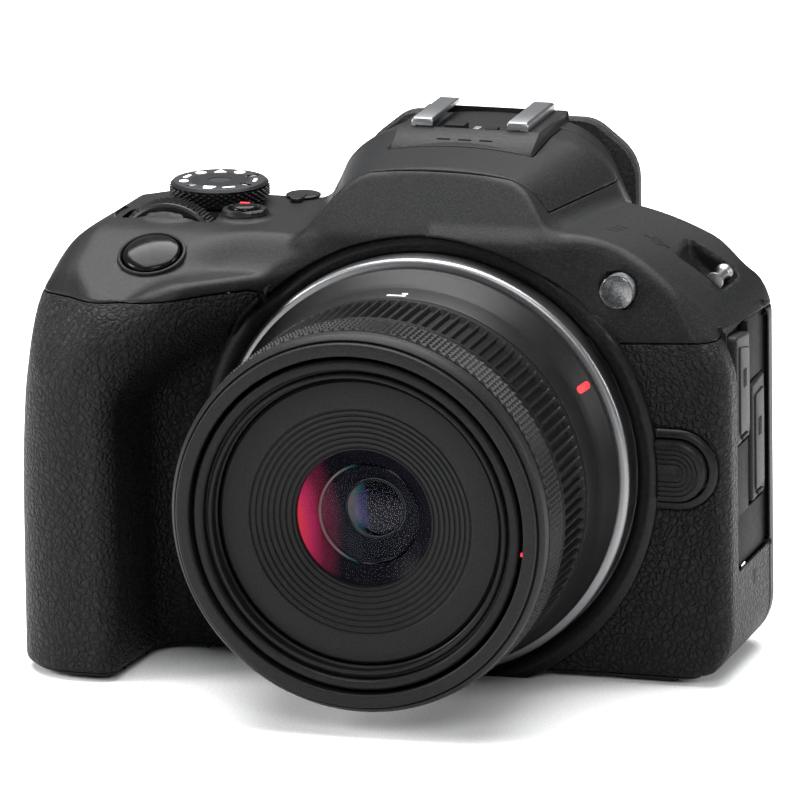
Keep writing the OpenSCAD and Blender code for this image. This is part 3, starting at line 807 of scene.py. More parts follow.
def prism(outline, low, high, place, edge=0.3, steps=3):
    """A closed outline pushed from low to high, its top edge rounded. place(a, b, h) gives the point."""
    o = np.array(outline, float)
    nxt, prv = np.roll(o, -1, axis=0), np.roll(o, 1, axis=0)
    along = nxt - prv
    normal = np.c_[along[:, 1], -along[:, 0]] / np.linalg.norm(along, axis=1)[:, None]
    area = np.sum(o[:, 0] * nxt[:, 1] - nxt[:, 0] * o[:, 1])
    if area < 0:
        normal = -normal
    layers = [(0.0, low)]
    for k in range(steps + 1):
        t = math.pi / 2 * k / steps
        layers.append((edge * (1 - math.cos(t)), high - edge + edge * math.sin(t)))
    points, faces, n = [], [], len(o)
    for inset, h in layers:
        points += [place(a, b, h) for a, b in o - normal * inset]
    for j in range(len(layers) - 1):
        for i in range(n):
            k = (i + 1) % n
            faces.append((j * n + i, j * n + k, (j + 1) * n + k, (j + 1) * n + i))
    top = (len(layers) - 1) * n
    faces += [tuple(range(n))[::-1], tuple(range(top, top + n))]
    return points, outward(points, faces)


def rounded_outline(corners, steps=6):
    """Outline from (x, y, radius) corners."""
    out = []
    c = [np.array(p[:2], float) for p in corners]
    for i, p in enumerate(corners):
        a, b, r = c[i - 1] - c[i], c[(i + 1) % len(c)] - c[i], p[2]
        a, b = a / np.linalg.norm(a), b / np.linalg.norm(b)
        half = math.acos(np.clip(a @ b, -1, 1)) / 2
        if r <= 0:
            out.append(c[i])
            continue
        middle = c[i] + (a + b) / np.linalg.norm(a + b) * r / math.sin(half)
        s, e = c[i] + a * r / math.tan(half) - middle, c[i] + b * r / math.tan(half) - middle
        t0, t1 = math.atan2(s[1], s[0]), math.atan2(e[1], e[0])
        turn = (t1 - t0 + 3 * math.pi) % (2 * math.pi) - math.pi
        out += [middle + r * np.array([math.cos(t0 + turn * k / steps), math.sin(t0 + turn * k / steps)])
                for k in range(steps + 1)]
    return out


def merge(*parts):
    points, faces = [], []
    for p, f in parts:
        shift = len(points)
        points += [tuple(q) for q in p]
        faces += [tuple(i + shift for i in face) for face in f]
    return points, faces


def front_place(a, b, h):
    return (a, -h, b)


def back_place(a, b, h):
    return (a, h, b)


def top_place(a, b, h):
    return (a, b, h)


def side_place(a, b, h):
    return (h, a, b)


def placed(centre, place=top_place, turn=0.0):
    """A place function moved to centre and turned in its own plane."""
    c, s = math.cos(turn), math.sin(turn)
    return lambda a, b, h: tuple(np.add(centre, place(a * c - b * s, a * s + b * c, h)))


def rectangle(x0, y0, x1, y1, radius, steps=6):
    """Outline of a rectangle with round corners."""
    return rounded_outline([(x0, y0, radius), (x1, y0, radius), (x1, y1, radius), (x0, y1, radius)], steps)


def bar(length, width):
    return rectangle(-length / 2, -width / 2, length / 2, width / 2, width * 0.3, 3)


def circle(radius, count=24):
    return [(radius * math.cos(2 * math.pi * k / count), radius * math.sin(2 * math.pi * k / count))
            for k in range(count)]


def blocks(*boxes, edge=0.15):
    """Several bevelled blocks, each from its lowest to its highest corner."""
    return merge(*(prism(rectangle(*lo[:2], *hi[:2], edge, 3), lo[2], hi[2], top_place, edge, 2)
                   for lo, hi in boxes))


def loft(loops, closed=False):
    """Joins loops of equal length. The first and last are capped, or joined when closed."""
    count = len(loops[0])
    points = [tuple(p) for loop in loops for p in loop]
    faces = []
    for j in range(len(loops) if closed else len(loops) - 1):
        a, b = j * count, (j + 1) % len(loops) * count
        faces += [(a + i, a + (i + 1) % count, b + (i + 1) % count, b + i) for i in range(count)]
    if not closed:
        last = (len(loops) - 1) * count
        faces += [tuple(range(count))[::-1], tuple(range(last, last + count))]
    return points, outward(points, faces)


def sweep(path, section, place):
    """Moves a closed section of (offset, height) along an open flat path."""
    o = np.array(path, float)
    along = np.gradient(o, axis=0)
    side = np.c_[along[:, 1], -along[:, 0]] / np.linalg.norm(along, axis=1)[:, None]
    return loft([[place(*(o[i] + side[i] * off), h) for off, h in section] for i in range(len(o))])


def dome(radius, low, edge, crown, steps=6):
    """Outline of a round button: straight side, rounded edge, slightly domed top."""
    rim = [(radius, low), (radius, edge - 0.5), (radius - 0.12, edge - 0.2), (radius - 0.4, edge)]
    top = [((radius - 0.4) * (1 - k / steps), edge + crown * (1 - (1 - k / steps) ** 2))
           for k in range(1, steps + 1)]
    return rim + top + [(0, low)]


def top_point(x, y):
    """The top cover's point above (x, y) and the direction that faces out of it."""
    low, high = 50.0, 90.0
    for _ in range(40):
        z = (low + high) / 2
        if float(body_field(np.array([x]), np.array([y]), np.array([z]))[0]) < 0:
            low = z
        else:
            high = z
    out = gradient(np.array([[x, y, low]]), body_field)[0]
    return np.array([x, y, low]), out / np.linalg.norm(out)


def flat_mark(outline, x, y, turn=0.0, low=-0.4, high=0.06):
    """A small flat shape lying on the top cover."""
    at, n = top_point(x, y)
    u = np.cross(BACKWARD, n)
    u /= np.linalg.norm(u)
    v = np.cross(n, u)
    c, s = math.cos(turn), math.sin(turn)
    return prism(outline, low, high,
                 lambda a, b, h: tuple(at + u * (a * c - b * s) + v * (a * s + b * c) + n * h), 0.02, 1)


# ---------- lens: distances are ahead of the image plane ----------

BARREL, BARREL_INSIDE = 31.2, 29.1
RIBS = 114               # grooves round the zoom ring, and pyramids round the control ring
RIB_DEPTH = 0.85
RIB_ROWS = (4, 5)        # points of the zoom ring's outline that the grooves sink


def rib_wave(angles, i):
    """Grooves of the zoom ring on the outline's middle points."""
    if i not in RIB_ROWS:
        return 0, 0
    t = (angles * RIBS / (2 * math.pi)) % 1
    return np.where((t > 0.3) & (t < 0.95), -RIB_DEPTH, 0), 0


def zoom_ring():
    outline = [(BARREL_INSIDE, 32.0), (30.9, 32.0)]
    outline += [(BARREL, d) for d in (32.3, 33.6, 34.2, 44.5, 45.0, 45.4)]
    outline += [(31.0, 45.6), (BARREL_INSIDE, 45.6)]
    turned("zoom_ring_ribbed", outline, "zoom_ring", "lens", "lens_plastic", ("zoom_ring",),
           segments=RIBS * 6, wave=rib_wave)


def control_ring():
    cap = [(31.05, 53.25), (BARREL_INSIDE, 53.25), (BARREL_INSIDE, 45.75), (31.0, 45.75)]
    knurled("control_ring_knurled", 31.45, 0.5, 46.0, 53.0, 5, RIBS, cap, "control_ring", "lens",
            "lens_plastic")


SURROUND = [(34.9, 13.5), (34.9, 15.4), (35.3, 16.0), (35.9, 16.9), (36.5, 17.3), (37.3, 17.45),
            (38.2, 17.4), (38.65, 17.1), (38.75, 16.6), (38.75, 15.6), (37.1, 15.2), (37.1, 13.5)]


def surround_wave(angles, i):
    """The surround sinks under the viewfinder hump and is cut flat where it meets the base."""
    under = step(np.sin(angles), 0.58, 0.74)
    room = (AXIS_Z - 0.05) / np.maximum(-np.sin(angles), 0.1)
    radius = np.minimum(SURROUND[i][0] - (1.45 * under if 2 <= i <= 8 else 0), room)
    return radius - SURROUND[i][0], (-2.3 * under if 1 <= i <= 9 else 0)


def lens_mounting():
    turned("mount_surround", SURROUND, "body", "button", "body_plastic", segments=200, wave=surround_wave)
    turned("mount_ring_bright", [(27, 14.6), (34.6, 14.9), (34.7, 19.5), (34.2, 20.05), (27, 20.05)],
           "body", "silver", "bright_metal", ("mount_ring",), 0.3)


def fixed_barrel():
    turned("lens_base_barrel", [(BARREL_INSIDE, 20.3), (33.0, 20.3), (33.3, 20.7), (33.4, 21.4),
                                (33.0, 22.2), (31.85, 25.0), (31.45, 26.3), (BARREL, 31.8),
                                (BARREL_INSIDE, 31.8)],
           "body", "lens", "lens_plastic", ("lens_barrel",), 0.25)
    turned("lens_tube_inside", [(28.2, 24), (28.8, 24), (28.8, 55), (28.2, 55)], "body", "dark",
           "lens_plastic", (), 0.1)
    turned("front_rim_ring", [(28.0, 53.5), (31.05, 53.5), (31.15, 54.3), (30.95, 55.6), (30.3, 56.55),
                              (30.1, 56.5), (30.05, 56.0), (29.9, 56.0), (29.85, 57.2), (29.6, 57.45),
                              (28.0, 57.45), (27.7, 57.2), (27.7, 53.5)],
           "body", "lens_front", "rim_plastic", ("front_rim",), 0.1)


def extending_tube():
    turned("inner_tube", [(26.2, 34), (27.0, 34), (27.0, 56.7), (26.6, 57.1), (25.7, 57.1), (25.35, 56.7),
                          (25.3, 55.4), (24.85, 55.4), (24.75, 56.4), (24.5, 56.65), (24.1, 56.65),
                          (23.95, 56.4), (23.9, 54.9), (23.6, 54.7), (23.6, 54.0), (26.2, 53.5)],
           "zoom_barrel", "lens", "lens_plastic", ("inner_barrel",), 0.08, segments=200)
    steps = []
    for i in range(8):
        r, d = 18.5 - i * 0.93, 54.35 - i * 0.24
        steps += [(r, d), (r - 0.16, d - 0.34), (r - 0.34, d - 0.34), (r - 0.42, d - 0.1)]
    turned("front_bezel_ring", [(23.4, 50.5), (23.4, 54.0), (22.9, 54.5), (18.7, 54.45)] + steps
           + [(11.35, 52.5), (11.2, 51.4), (11.2, 50.5)],
           "zoom_barrel", "bezel", "lens_plastic", ("front_bezel",), 0.03, segments=200)


def cap_shape(radius, rim, rise, thick, count=10):
    """Outline of a lens element: a bulging front and a flat back."""
    front = [(radius * (count - k) / count, rim + rise * (1 - ((count - k) / count) ** 2))
             for k in range(count + 1)]
    return front + [(0, rim - thick), (radius, rim - thick)]


def lens_glass():
    pieces = (
        ("front_glass", cap_shape(11.15, 51.9, 1.2, 0.5), "front_glass", "coated_glass",
         ("front_element",)),
        ("glass_cavity", [(11.2, 51.6), (11.15, 51.6), (8.3, 49.2), (8.1, 48.0), (4.9, 45.5), (4.4, 43.0),
                          (3.6, 42.0), (3.6, 41.2), (11.4, 41.2), (11.4, 51.6)],
         "cavity", "lens_plastic", ()),
        ("second_glass", cap_shape(8.15, 49.3, 0.9, 0.5), "inner_glass", "coated_glass", ()),
        ("second_rim", [(8.35, 49.2), (8.35, 49.5), (8.15, 49.6), (8.0, 49.45), (8.05, 49.2)],
         "teal_painted_reflection", "lens_plastic", ()),
        ("third_element", cap_shape(4.7, 45.4, 0.9, 0.8), "teal_painted_reflection", "coated_glass", ("aperture_unit",)),
        ("third_rim", [(4.95, 45.6), (4.95, 45.9), (4.75, 46.0), (4.6, 45.9), (4.6, 45.6)],
         "dial", "lens_plastic", ()),
        ("fourth_element", cap_shape(3.5, 46.3, 0.35, 0.3), "violet_painted_reflection", "coated_glass", ()),
    )
    for name, outline, look, slot, nodes in pieces:
        turned(name, outline, "zoom_barrel", look, slot, nodes)


def barrel_radius(d):
    return float(np.interp(d, [21.4, 22.2, 25.0, 26.3, 31.8, 56.5, 57.5],
                           [33.4, 33.0, 31.85, 31.45, BARREL, 27.75, 27.75]))


def lens_marks():
    """Small raised rounded marks on the barrel: two red pills and the white index."""
    marks = (("mount_mark", 60.5, 22.0, 25.0, 0.66, "red"), ("index_dash", -1.2, 30.4, 30.9, 1.6, "white"),
             ("index_dot", 0.9, 29.3, 29.8, 0.5, "white"), ("rim_mark", 96, 56.9, 57.3, 0.35, "red"))
    for name, degrees, low, high, half_width, look in marks:
        middle, half = (low + high) / 2, (high - low) / 2

        def place(a, b, h, middle=middle, angle=math.radians(degrees)):
            base = barrel_radius(middle + b)
            t = angle + a / base
            return ((base + h) * math.sin(t), -middle - b, AXIS_Z + (base + h) * math.cos(t))

        outline = rectangle(-half_width, -half, half_width, half, min(half_width, half) * 0.95, 5)
        solid(name, prism(outline, -0.3, 0.07, place, 0.05, 2), "body", look, "rim_plastic")


# ---------- controls on top ----------

def shutter_release():
    on_top = {"centre": SHUTTER, "axis": SHUTTER_AXIS, "segments": 72}
    turned("shutter_button_cap", dome(4.7, -1.5, 0.75, 0.75), "shutter_button", "gloss", "gloss_black",
           ("shutter_button",), **on_top)
    turned("shutter_collar", [(5.1, -3), (5.1, 0.25), (5.3, 0.42), (5.6, 0.3), (5.7, -0.2), (5.7, -3)],
           "body", "body", "body_plastic", (), 0.05, **on_top)


def main_dial():
    cap = [(8.7, 1.75), (8.3, 2.0), (7.6, 1.95), (1.6, 1.95), (1.6, -2), (8.5, -2)]
    knurled("main_dial_knurled", 9.35, 0.55, -1.45, 1.45, 4, 52, cap, "main_dial", "dial", "dial_plastic",
            MAIN_DIAL)


def dial_marks():
    """White figures round the mode dial: plain shapes in place of the real modes' signs."""
    triangle = rounded_outline([(-1.1, -0.9, 0.1), (1.1, -0.9, 0.1), (0, 1.1, 0.1)], 3)
    wedge = rounded_outline([(-1.1, -0.9, 0.1), (1.1, -0.9, 0.1), (0.7, 0.9, 0.1), (-0.7, 0.9, 0.1)], 3)
    figures = [bar(2.1, 0.6), bar(0.7, 2.2), circle(0.95), triangle, bar(1.7, 1.5), bar(2.2, 0.7),
               circle(0.8), bar(0.7, 2.0), wedge, bar(2.1, 0.6), bar(0.7, 2.2)]
    parts = []
    for k, shape in enumerate(figures):
        t = math.radians(360 / len(figures) * k + 8)
        at = MODE_DIAL + (5.9 * math.cos(t), 5.9 * math.sin(t), 3.47)
        parts.append(prism(shape, 0, 0.16, placed(at, turn=t - math.pi / 2), 0.03, 1))
    return merge(*parts)


def mode_dial():
    cap = [(8.1, 3.15), (7.7, 3.55), (1.8, 3.55), (1.8, -4), (2.0, -4), (2.0, 0.35), (7.6, 0.35)]
    knurled("mode_dial_knurled", 8.4, 0.75, 0.6, 3.0, 3, 36, cap, "mode_dial", "dial", "dial_plastic",
            MODE_DIAL, UP)
    turned("mode_dial_top", [(7.65, 3.3), (7.65, 3.5), (7.45, 3.62), (3.2, 3.5), (0, 3.44), (0, 3.3)],
           "mode_dial", "spun", "dial_plastic", (), 0.03, centre=MODE_DIAL, axis=UP, segments=96)
    solid("mode_dial_marks", dial_marks(), "mode_dial", "white", "dial_plastic")


def movie_release():
    turned("movie_button_cap", dome(2.35, -1.5, 1.95, 0.3), "movie_button", "gloss", "button_plastic",
           ("movie_button",), centre=MOVIE, axis=UP, segments=48)
    pill = prism(bar(1.7, 0.75), 2.12, 2.34, placed(MOVIE), 0.08, 2)
    solid("movie_mark", pill, "movie_button", "red", "button_plastic")


def power_switch():
    at = np.array([-29.5, 12.5, DECK])
    disc = soften([(0, -3), (1.5, -3), (1.5, 0.1), (2.9, 0.1), (2.9, 0.4), (2.6, 0.55), (0, 0.6)], 0.06)
    lever = rounded_outline([(-1, -4.9, 0.9), (1, -4.9, 0.9), (1, -1, 0.2), (-1, -1, 0.2)], 4)
    solid("power_switch", merge(lathe(disc, at, UP, 48), prism(lever, 0.1, 0.75, placed(at), 0.2)),
          "power_lever", "dial", "button_plastic", ("power_lever",))


def top_marks():
    """Microphone openings drawn as dark flat marks on the cover, painted shade in place of holes, and the
    sensor-plane mark.
    """
    # painted shade: near-black flat marks lying on the cover where the microphone openings are
    slot_shade_marks = merge(*(flat_mark(bar(2.0, 0.65), 27.7 + 0.4 * k, -3.6 + 1.5 * k, 0.25, -0.5, 0.03)
                    for k in range(3)))
    solid("microphone_slot_shade_marks", slot_shade_marks, "body", "dark", "body_plastic")
    plane = merge(flat_mark(bar(4.6, 0.22), 34.2, 0, 0), *(
        flat_mark(bar(0.5, 0.22), 34.2 + 1.1 * math.cos(t), 1.1 * math.sin(t), t + math.pi / 2)
        for t in np.radians(np.arange(0, 360, 20))))
    solid("sensor_plane_mark", plane, "body", "bezel", "body_plastic")


# ---------- front and sides ----------

def release_arc(radius, steps):
    """Half circle round the free end of the release button."""
    return [(RELEASE[0] + radius * math.cos(t), RELEASE[1] + radius * math.sin(t))
            for t in np.linspace(-math.pi / 2, math.pi / 2, steps)]


def release_loop(grow, h):
    """The release button's outline, cut on its left by the mount surround."""
    r = 5.0 + grow
    loop = [(x, -h, z) for x, z in release_arc(r, 20)]
    for k in range(7):
        z = RELEASE[1] + r * (1 - k / 3)
        loop.append((math.sqrt(39.0 ** 2 - (z - AXIS_Z) ** 2), -h, z))
    return loop


def lens_release():
    layers = [(0, 12.7), (0, 17.5), (-0.15, 17.95), (-0.5, 18.2), (-0.95, 18.25)]
    for k in range(4):
        s = -1.05 - 0.78 * k
        layers += [(s, 17.95), (s - 0.3, 17.95), (s - 0.36, 18.2), (s - 0.68, 18.2)]
    layers += [(-4.5, 18.15)]
    solid("lens_release_cap", loft([release_loop(*layer) for layer in layers]), "lens_release_button",
          "button", "button_plastic", ("lens_release_button",))
    low, high = RELEASE[1] - 5.0, RELEASE[1] + 5.0
    path = [(38.4, low), (40, low)] + release_arc(5, 24) + [(40, high), (38.4, high)]
    section = [(0.25, 14.5), (0.25, 16.5), (0.4, 16.75), (0.75, 16.8), (1.35, 16.6), (1.65, 16.2),
               (1.65, 14.5)]
    solid("release_surround", sweep(path, section, front_place), "body", "button", "body_plastic")


def af_lamp():
    rings = [(2.75, -1.2), (2.75, 1.0)]
    for r in (2.55, 2.0, 1.45, 0.9):
        rings += [(r, 1.0), (r - 0.14, 0.8), (r - 0.36, 0.8), (r - 0.5, 1.02)]
    turned("lamp_reflector", rings + [(0, 1.05), (0, -1.2)], "body", "lamp", "clear_window", centre=LAMP,
           segments=64)
    turned("lamp_window", [(2.75, 1.05), (2.75, 1.45), (2.5, 1.6), (0, 1.85), (0, 1.3), (2.5, 1.1)], "body",
           "lamp_glass", "clear_window", ("af_lamp_window",), centre=LAMP, segments=64)


def strap_lugs():
    """Round steel bars across the recesses, with a thicker ring at each end."""
    outline = [(0, -3.4), (1.5, -3.4), (1.5, -2.8), (1.0, -2.2), (0.85, -0.5), (0.85, 0.9), (1.0, 2.2),
               (1.5, 2.8), (1.5, 3.4), (0, 3.4)]
    bars = merge(*(lathe(soften(outline, 0.15), at, BACKWARD, 40) for at in STRAP_BARS))
    solid("strap_bars", bars, "body", "silver", "bright_metal", ("strap_lugs",))


def port_cover(low, high, y0, y1, lean):
    """A rubber flap with a sloping end and a raised field."""
    plate = rounded_outline([(y0, low, 0.8), (y1, low + 0.6, 0.8), (y1, high - lean, 0.8),
                             (y0, high, 0.8)], 4)
    field = rounded_outline([(y0 + 1.3, low + 1.6, 0.6), (y1 - 1.2, low + 2, 0.6),
                             (y1 - 1.2, high - lean - 2.2, 0.6), (y0 + 1.3, high - 1.8, 0.6)], 4)
    pull = rectangle(y0 + 2.2, low + 0.8, y1 - 2.2, low + 1.4, 0.3, 3)
    middle = (y0 + y1) / 2
    ridges = [rectangle(middle + d, high - 9, middle + d + 0.3, high - 6, 0.1, 2)
              for d in (-0.9, -0.3, 0.3)]
    return merge(prism(plate, 48.0, 49.75, side_place, 0.45), prism(field, 49.5, 50.05, side_place, 0.25),
                 prism(pull, 49.5, 50.15, side_place, 0.15),
                 *(prism(ridge, 49.9, 50.18, side_place, 0.08) for ridge in ridges))


def ports():
    for half, shape in (("upper", (38.5, 56.8, -8.8, -0.6, 0.8)), ("lower", (27, 46.5, 0.6, 8.3, -0.8))):
        node = "port_cover_" + half
        solid("port_flap_" + half, port_cover(*shape), node, "flap", "rubber", (node,))
    edges = (((46, -10.4, 17.4), (48.7, 9.9, 18.2)), ((46, -10.2, 57.2), (48.2, 9.9, 58.0)),
             ((46.6, -10.4, 17.4), (48.4, -9.6, 58.0)), ((46, 9.4, 17.7), (49.3, 9.9, 58.0)))
    around_covers = (((47, -9.9, 18.1), (48.9, 9.5, 26.6)), ((47, -9.9, 26.5), (48.9, -0.4, 38.1)),
                     ((47, -8.9, 18.1), (49.3, 9.5, 26.6)), ((47, -8.9, 26.5), (49.3, -0.4, 38.1)),
                     ((47, 8.6, 26.5), (49.3, 9.5, 57.6)), ((47, -0.3, 47.4), (49.3, 8.7, 57.6)))
    # painted shade: the bay's frame blocks get the near-black inner plastic so the recess round the flaps
    # reads dark and shallow
    solid("port_bay_frame", blocks(*edges, *around_covers), "body", "dark", "body_plastic")
    # painted shade: a near-black block flush with the side stands for the cable slot's opening
    solid("cable_slot_painted_shade", blocks(((49.2, -1.2, 13.6), (50.22, 1.2, 16.2))), "body", "dark", "body_plastic")


# ---------- flash, shoe and viewfinder ----------

def shoe():
    profile = [(4.05, 75.5), (4.05, 81.9), (4.6, 82.5), (9.2, 84.5), (9.9, 84.55), (9.95, 83.3),
               (25.6, 83.3), (25.8, 84.5), (26.6, 84.4), (26.9, 83.9), (26.9, 75.5)]
    loops = []
    for x, inset in ((-12.05, 0.35), (-11.9, 0.08), (-11.6, 0), (11.6, 0), (11.9, 0.08), (12.05, 0.35)):
        loops.append([(x, y + (inset if y < 6 else -inset if y > 26 else 0), z - (inset if z > 76 else 0))
                      for y, z in profile])
    solid("shoe_block", loft(loops), "body", "body", "body_plastic", ("shoe_housing",))
    walls = [((x - 1.0, 9.4, 83.0), (x + 1.0, 26.4, 84.55)) for x in (-10.9, 10.9)]
    solid("shoe_side_walls", blocks(*walls, edge=0.3), "body", "body", "body_plastic")
    dashes = [((x - 1.1, 6.48, 83.25), (x + 1.1, 6.72, 83.5)) for x in (-3.6, 0, 3.6)]
    solid("shoe_dashes", blocks(*dashes, edge=0.05), "body", "dark", "body_plastic")


def rail(side):
    flat = [(6.35, 85.25), (9.0, 85.25), (9.2, 85.0), (9.2, 83.3), (9.9, 83.3), (9.9, 85.7), (9.6, 86.0),
            (6.5, 86.0), (6.35, 85.85)]
    return loft([[(side * x, y, z - drop if z > 85 else z) for x, z in flat]
                 for y, drop in ((9.7, 0.5), (9.85, 0.2), (10.3, 0), (25.2, 0), (25.5, 0.15))])


def shoe_metal():
    solid("shoe_rails_formed", merge(rail(1), rail(-1)), "body", "silver", "bright_metal", ("shoe_rails",))
    floor = blocks(((-9.1, 9.9, 83.2), (9.1, 25.6, 83.42)), edge=0.05)
    solid("shoe_floor", floor, "body", "dark", "body_plastic")
    springs = [((x - 0.9, 12, 83.35), (x + 0.9, 24.5, 83.6)) for x in (-8.1, 8.1)]
    solid("shoe_springs", blocks(*springs, edge=0.1), "body", "steel", "bright_metal")
    locks = blocks(((-4.6, 10.4, 83.3), (-1.2, 13.4, 84.9)), ((2.2, 10.4, 83.3), (4.4, 12.2, 84.6)),
                   edge=0.2)
    solid("shoe_locks", locks, "body", "dark", "body_plastic")
    catch = blocks(((0.1, 10.4, 83.3), (1.3, 12.6, 84.4)), edge=0.2)
    solid("shoe_catch", catch, "body", "steel", "bright_metal")
    places = ((0, 18, 1.3), (3.6, 14.8, 0.8), (3.6, 21.5, 0.8), (-3.6, 21.5, 0.8), (-3.6, 14.8, 0.8))
    pins = merge(*(lathe(dome(r, -0.1, 0.3, 0.12, 3), (x, y, 83.25), UP, 32) for x, y, r in places))
    solid("shoe_pins", pins, "body", "gold", "contact_gold", ("shoe_contacts",))


def flash_bay():
    """Floor under the flash lid, inside the hump, and the reflector behind the flash window."""
    edge = [(float(hump_half(y, 75.4)) - 1.2, y) for y in np.linspace(-9, 20, 8)]
    outline = edge + [(-x, y) for x, y in edge[::-1]]
    solid("flash_bay_floor", prism(outline, 74.2, 75.3, top_place, 0.1, 2), "body", "dark", "body_plastic")
    reflector = blocks(((-10.4, -4.4, 76.9), (10.4, -3.4, 79.2)), edge=0.2)
    solid("flash_reflector", reflector, "flash", "silver", "bright_metal")


def frame_loops(stages):
    """The eyecup's loops, each of corners (x, z, radius) moved in by inset, at a depth."""
    loops = []
    for corners, inset, depth in stages:
        moved = [(x - math.copysign(inset, x), z - math.copysign(inset, z - 69.5), max(r - inset, 0.4))
                 for x, z, r in corners]
        loops.append([(a, depth, b) for a, b in rounded_outline(moved)])
    return loops


def eyepiece():
    outer = [(23.5, 60.5, 6), (23.5, 77, 8), (16, 83, 6), (-16, 83, 6), (-23.5, 77, 8), (-23.5, 60.5, 6)]
    hole = [(11, 62.5, 2), (11, 74, 2.2), (8.4, 76.5, 2), (-8.4, 76.5, 2), (-11, 74, 2.2), (-11, 62.5, 2)]
    cup = [(outer, 0.4, 27.2), (outer, 0, 27.7), (outer, 0, 29.2), (outer, 0.5, 30.1), (outer, 1.8, 31.2),
           (outer, 3.2, 31.9), (outer, 4.6, 32.15), (outer, 6.0, 31.9), (hole, -2.2, 30.6),
           (hole, -0.6, 29.6), (hole, 0, 28.6), (hole, 0, 27.2)]
    solid("eyecup_rubber", loft(frame_loops(cup), closed=True), "body", "eyecup", "rubber", ("eyecup",))
    glass = prism(rectangle(-8, 65.5, 8, 73.5, 1), 22, 24, back_place, 0.4)
    solid("eyepiece_glass", glass, "body", "screen_glass", "cover_glass", ("eyepiece_lens",))
    tunnel = [(hole, 0.05, 21), (hole, 0.05, 28.4), (hole, 0.8, 28.4), (hole, 0.8, 21)]
    solid("eyepiece_tunnel", loft(frame_loops(tunnel), closed=True), "body", "dark", "body_plastic")


# ---------- back and base ----------

def rear_buttons():
    for name, x, z, r in REAR_BUTTONS:
        on_back = {"centre": (x, BACK, z), "axis": BACKWARD, "segments": 40}
        turned(name + "_cap", dome(r, -3, 1.05, 0.25), name, "button", "button_plastic", (name,), **on_back)
        ring = [(r + 0.2, -1.5), (r + 0.2, 0.3), (r + 0.35, 0.42), (r + 0.6, 0.3), (r + 0.7, -1.5)]
        turned(name + "_ring", ring, "body", "body", "body_plastic", (), 0.05, **on_back)
        sign = prism(bar(1.5, 0.35), 1.22, 1.34, placed((x, BACK, z), back_place), 0.03, 1)
        solid(name + "_mark", sign, name, "white", "button_plastic")


def keypad():
    turned("set_button_cap", dome(3.6, -4.4, 0.7, 0.2), "set_button", "button", "button_plastic",
           ("set_button",), centre=KEYPAD, axis=BACKWARD, segments=48)
    cap = [(8.7, 0.45), (7.8, 0.65), (6.3, 0.35), (4.9, 0.55), (4.3, 0.4), (4.2, -2.9), (8.9, -2.9)]
    knurled("keypad_rim", 9.1, 0.25, -2.6, -0.1, 2, 60, cap, "keypad_ring", "button", "button_plastic",
            KEYPAD, BACKWARD)
    arrow = rounded_outline([(7.3, 0, 0.05), (6.1, 0.75, 0.05), (6.1, -0.75, 0.05)], 2)
    arrows = merge(*(prism(arrow, 0.2, 0.52, placed(KEYPAD, back_place, math.pi / 2 * k), 0.03, 1)
                     for k in range(4)))
    solid("keypad_arrows", arrows, "keypad_ring", "white", "button_plastic")


def rear_screen():
    pane = rounded_outline([(43.8, 8.2, 1), (43.8, 53.3, 1), (-21.8, 53.3, 1), (-21.8, 8.2, 1)])
    solid("screen_pane", prism(pane, 15.05, 16.6, back_place, 0.3), "body", "screen_glass",
          "cover_glass", ("screen_window",))


def diopter_dial():
    cap = [(2.8, 0.95), (0.6, 0.95), (0.6, -0.95), (2.8, -0.95)]
    knurled("diopter_knurled", 3.15, 0.35, -0.8, 0.8, 2, 24, cap, "diopter_dial", "dial", "button_plastic",
            (21.5, 17, 65), (1, 0, 0))


def base_details():
    thread = [(3.1 if k % 2 else 2.8, 9 - 0.44 * k) for k in range(20)]
    turned("tripod_socket_bush", [(3.1, 0.2), (3.4, 0.02), (4.7, 0.02), (4.85, 0.2), (4.85, 9)] + thread,
           "body", "steel", "steel", ("tripod_bush",), centre=(0, 0, 0), axis=UP, segments=64)
    ribs = [((-59.4 + 1.1 * k, -16, 0.2), (-59.0 + 1.1 * k, -10, 0.45)) for k in range(4)]
    latch = blocks(((-59.8, -16.8, 0.42), (-55.2, -9.2, 1.2)), *ribs, edge=0.06)
    solid("latch_slider", latch, "door_latch", "button", "button_plastic", ("door_latch",))


CAD_LOOKS = {
    "battery_box": "bezel", "flash_window": "lamp_glass", "chassis": "alloy", "image_sensor": "sensor",
    "shutter_frame": "dark", "shutter_curtain": "dark", "main_board": "board", "body_screws": "steel",
    # port_panel is near-black to darken the port bay: painted shade
    "screen_panel": "bezel", "battery": "cell", "memory_card": "cell", "port_panel": "dark",
    "port_sockets": "steel", "lens_lock_pin": "steel", "lens_mount": "bezel", "focus_cell": "bezel",
    "rear_element": "inner_glass", "aperture_unit": "dark", "door_latch": "button",
}


def paint_cad():
    """Materials of the CAD pieces that are shown as they are."""
    for name, look in CAD_LOOKS.items():
        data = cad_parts[name].data
        data.materials.clear()
        data.materials.append(M[look])


# ---------- stage ----------

AZIMUTH, ELEVATION, ROLL = math.radians(16.88), math.radians(14.829), math.radians(-0.877)
AIM = np.array([0, -20, AXIS_Z]) * MM
DISTANCE = 1.7           # from the camera to AIM, m


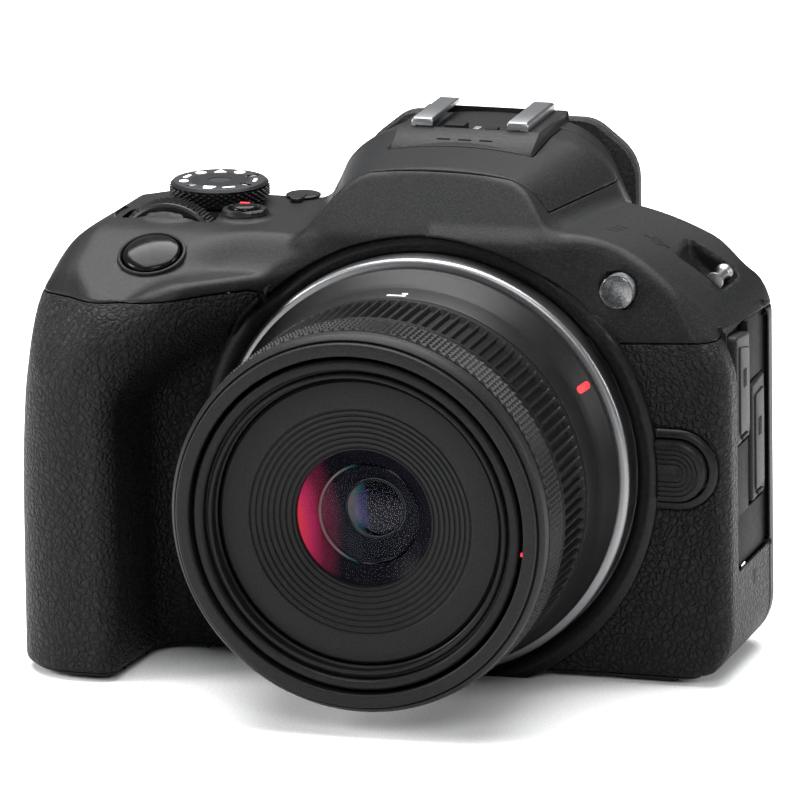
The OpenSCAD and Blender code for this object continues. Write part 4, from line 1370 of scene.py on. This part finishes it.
def build_camera():
    """The camera that took the photograph: a long lens, turned towards the mount."""
    cam = bpy.data.cameras.new("camera")
    cam.sensor_width = 36
    cam.lens = 473.5
    cam.clip_end = 10
    cam.shift_x = -0.0276
    cam.shift_y = 0.0851
    back = np.array([math.sin(AZIMUTH) * math.cos(ELEVATION),
                     -math.cos(AZIMUTH) * math.cos(ELEVATION), math.sin(ELEVATION)])
    level = np.array([math.cos(AZIMUTH), math.sin(AZIMUTH), 0])
    up = np.cross(back, level)
    side = math.cos(ROLL) * level + math.sin(ROLL) * up
    top = math.cos(ROLL) * up - math.sin(ROLL) * level
    eye = AIM + back * DISTANCE
    ob = bpy.data.objects.new("camera", cam)
    ob.matrix_world = Matrix([[side[i], top[i], back[i], eye[i]] for i in range(3)] + [[0, 0, 0, 1]])
    bpy.context.scene.collection.objects.link(ob)
    bpy.context.scene.camera = ob


def build_floor():
    mesh = bpy.data.meshes.new("floor")
    mesh.from_pydata([(-3, -3, 0), (3, -3, 0), (3, 3, 0), (-3, 3, 0)], [], [(0, 1, 2, 3)])
    mesh.materials.append(painted("floor_paint", (0.9, 0.9, 0.9), 0.85))
    ground = bpy.data.objects.new("floor", mesh)
    bpy.context.scene.collection.objects.link(ground)


LAMPS = (("top", (-0.1, 0.2, 1.0), 1.1, 42), ("left", (-0.8, -0.35, 0.4), 0.35, 8),
         ("front", (0.35, -1.0, 0.8), 0.5, 7), ("right", (0.9, 0.2, 0.35), 0.3, 5))


def build_lights():
    bpy.context.scene.view_settings.view_transform = "Standard"
    world = bpy.data.worlds.new("world")
    world.use_nodes = True
    sky = world.node_tree.nodes["Background"]
    sky.inputs[0].default_value = (0.94, 0.96, 1.0, 1)
    sky.inputs[1].default_value = 0.32
    bpy.context.scene.world = world
    for name, place, size, power in LAMPS:
        lamp = bpy.data.lights.new(name, "AREA")
        lamp.size = size
        lamp.energy = power
        light = bpy.data.objects.new(name, lamp)
        light.location = place
        aim = Vector((0, -0.02, 0.04)) - Vector(place)
        light.rotation_euler = aim.to_track_quat("-Z", "Y").to_euler()
        bpy.context.scene.collection.objects.link(light)


# ---------- everything ----------

build_camera()
build_floor()
build_lights()
build_casing()
for build in (lens_mounting, fixed_barrel, extending_tube, zoom_ring, control_ring, lens_glass, lens_marks,
              shutter_release, main_dial, mode_dial, movie_release, power_switch, top_marks, lens_release,
              af_lamp, strap_lugs, ports, shoe, shoe_metal, flash_bay, eyepiece, rear_buttons, keypad,
              rear_screen, diopter_dial, base_details, paint_cad):
    build()
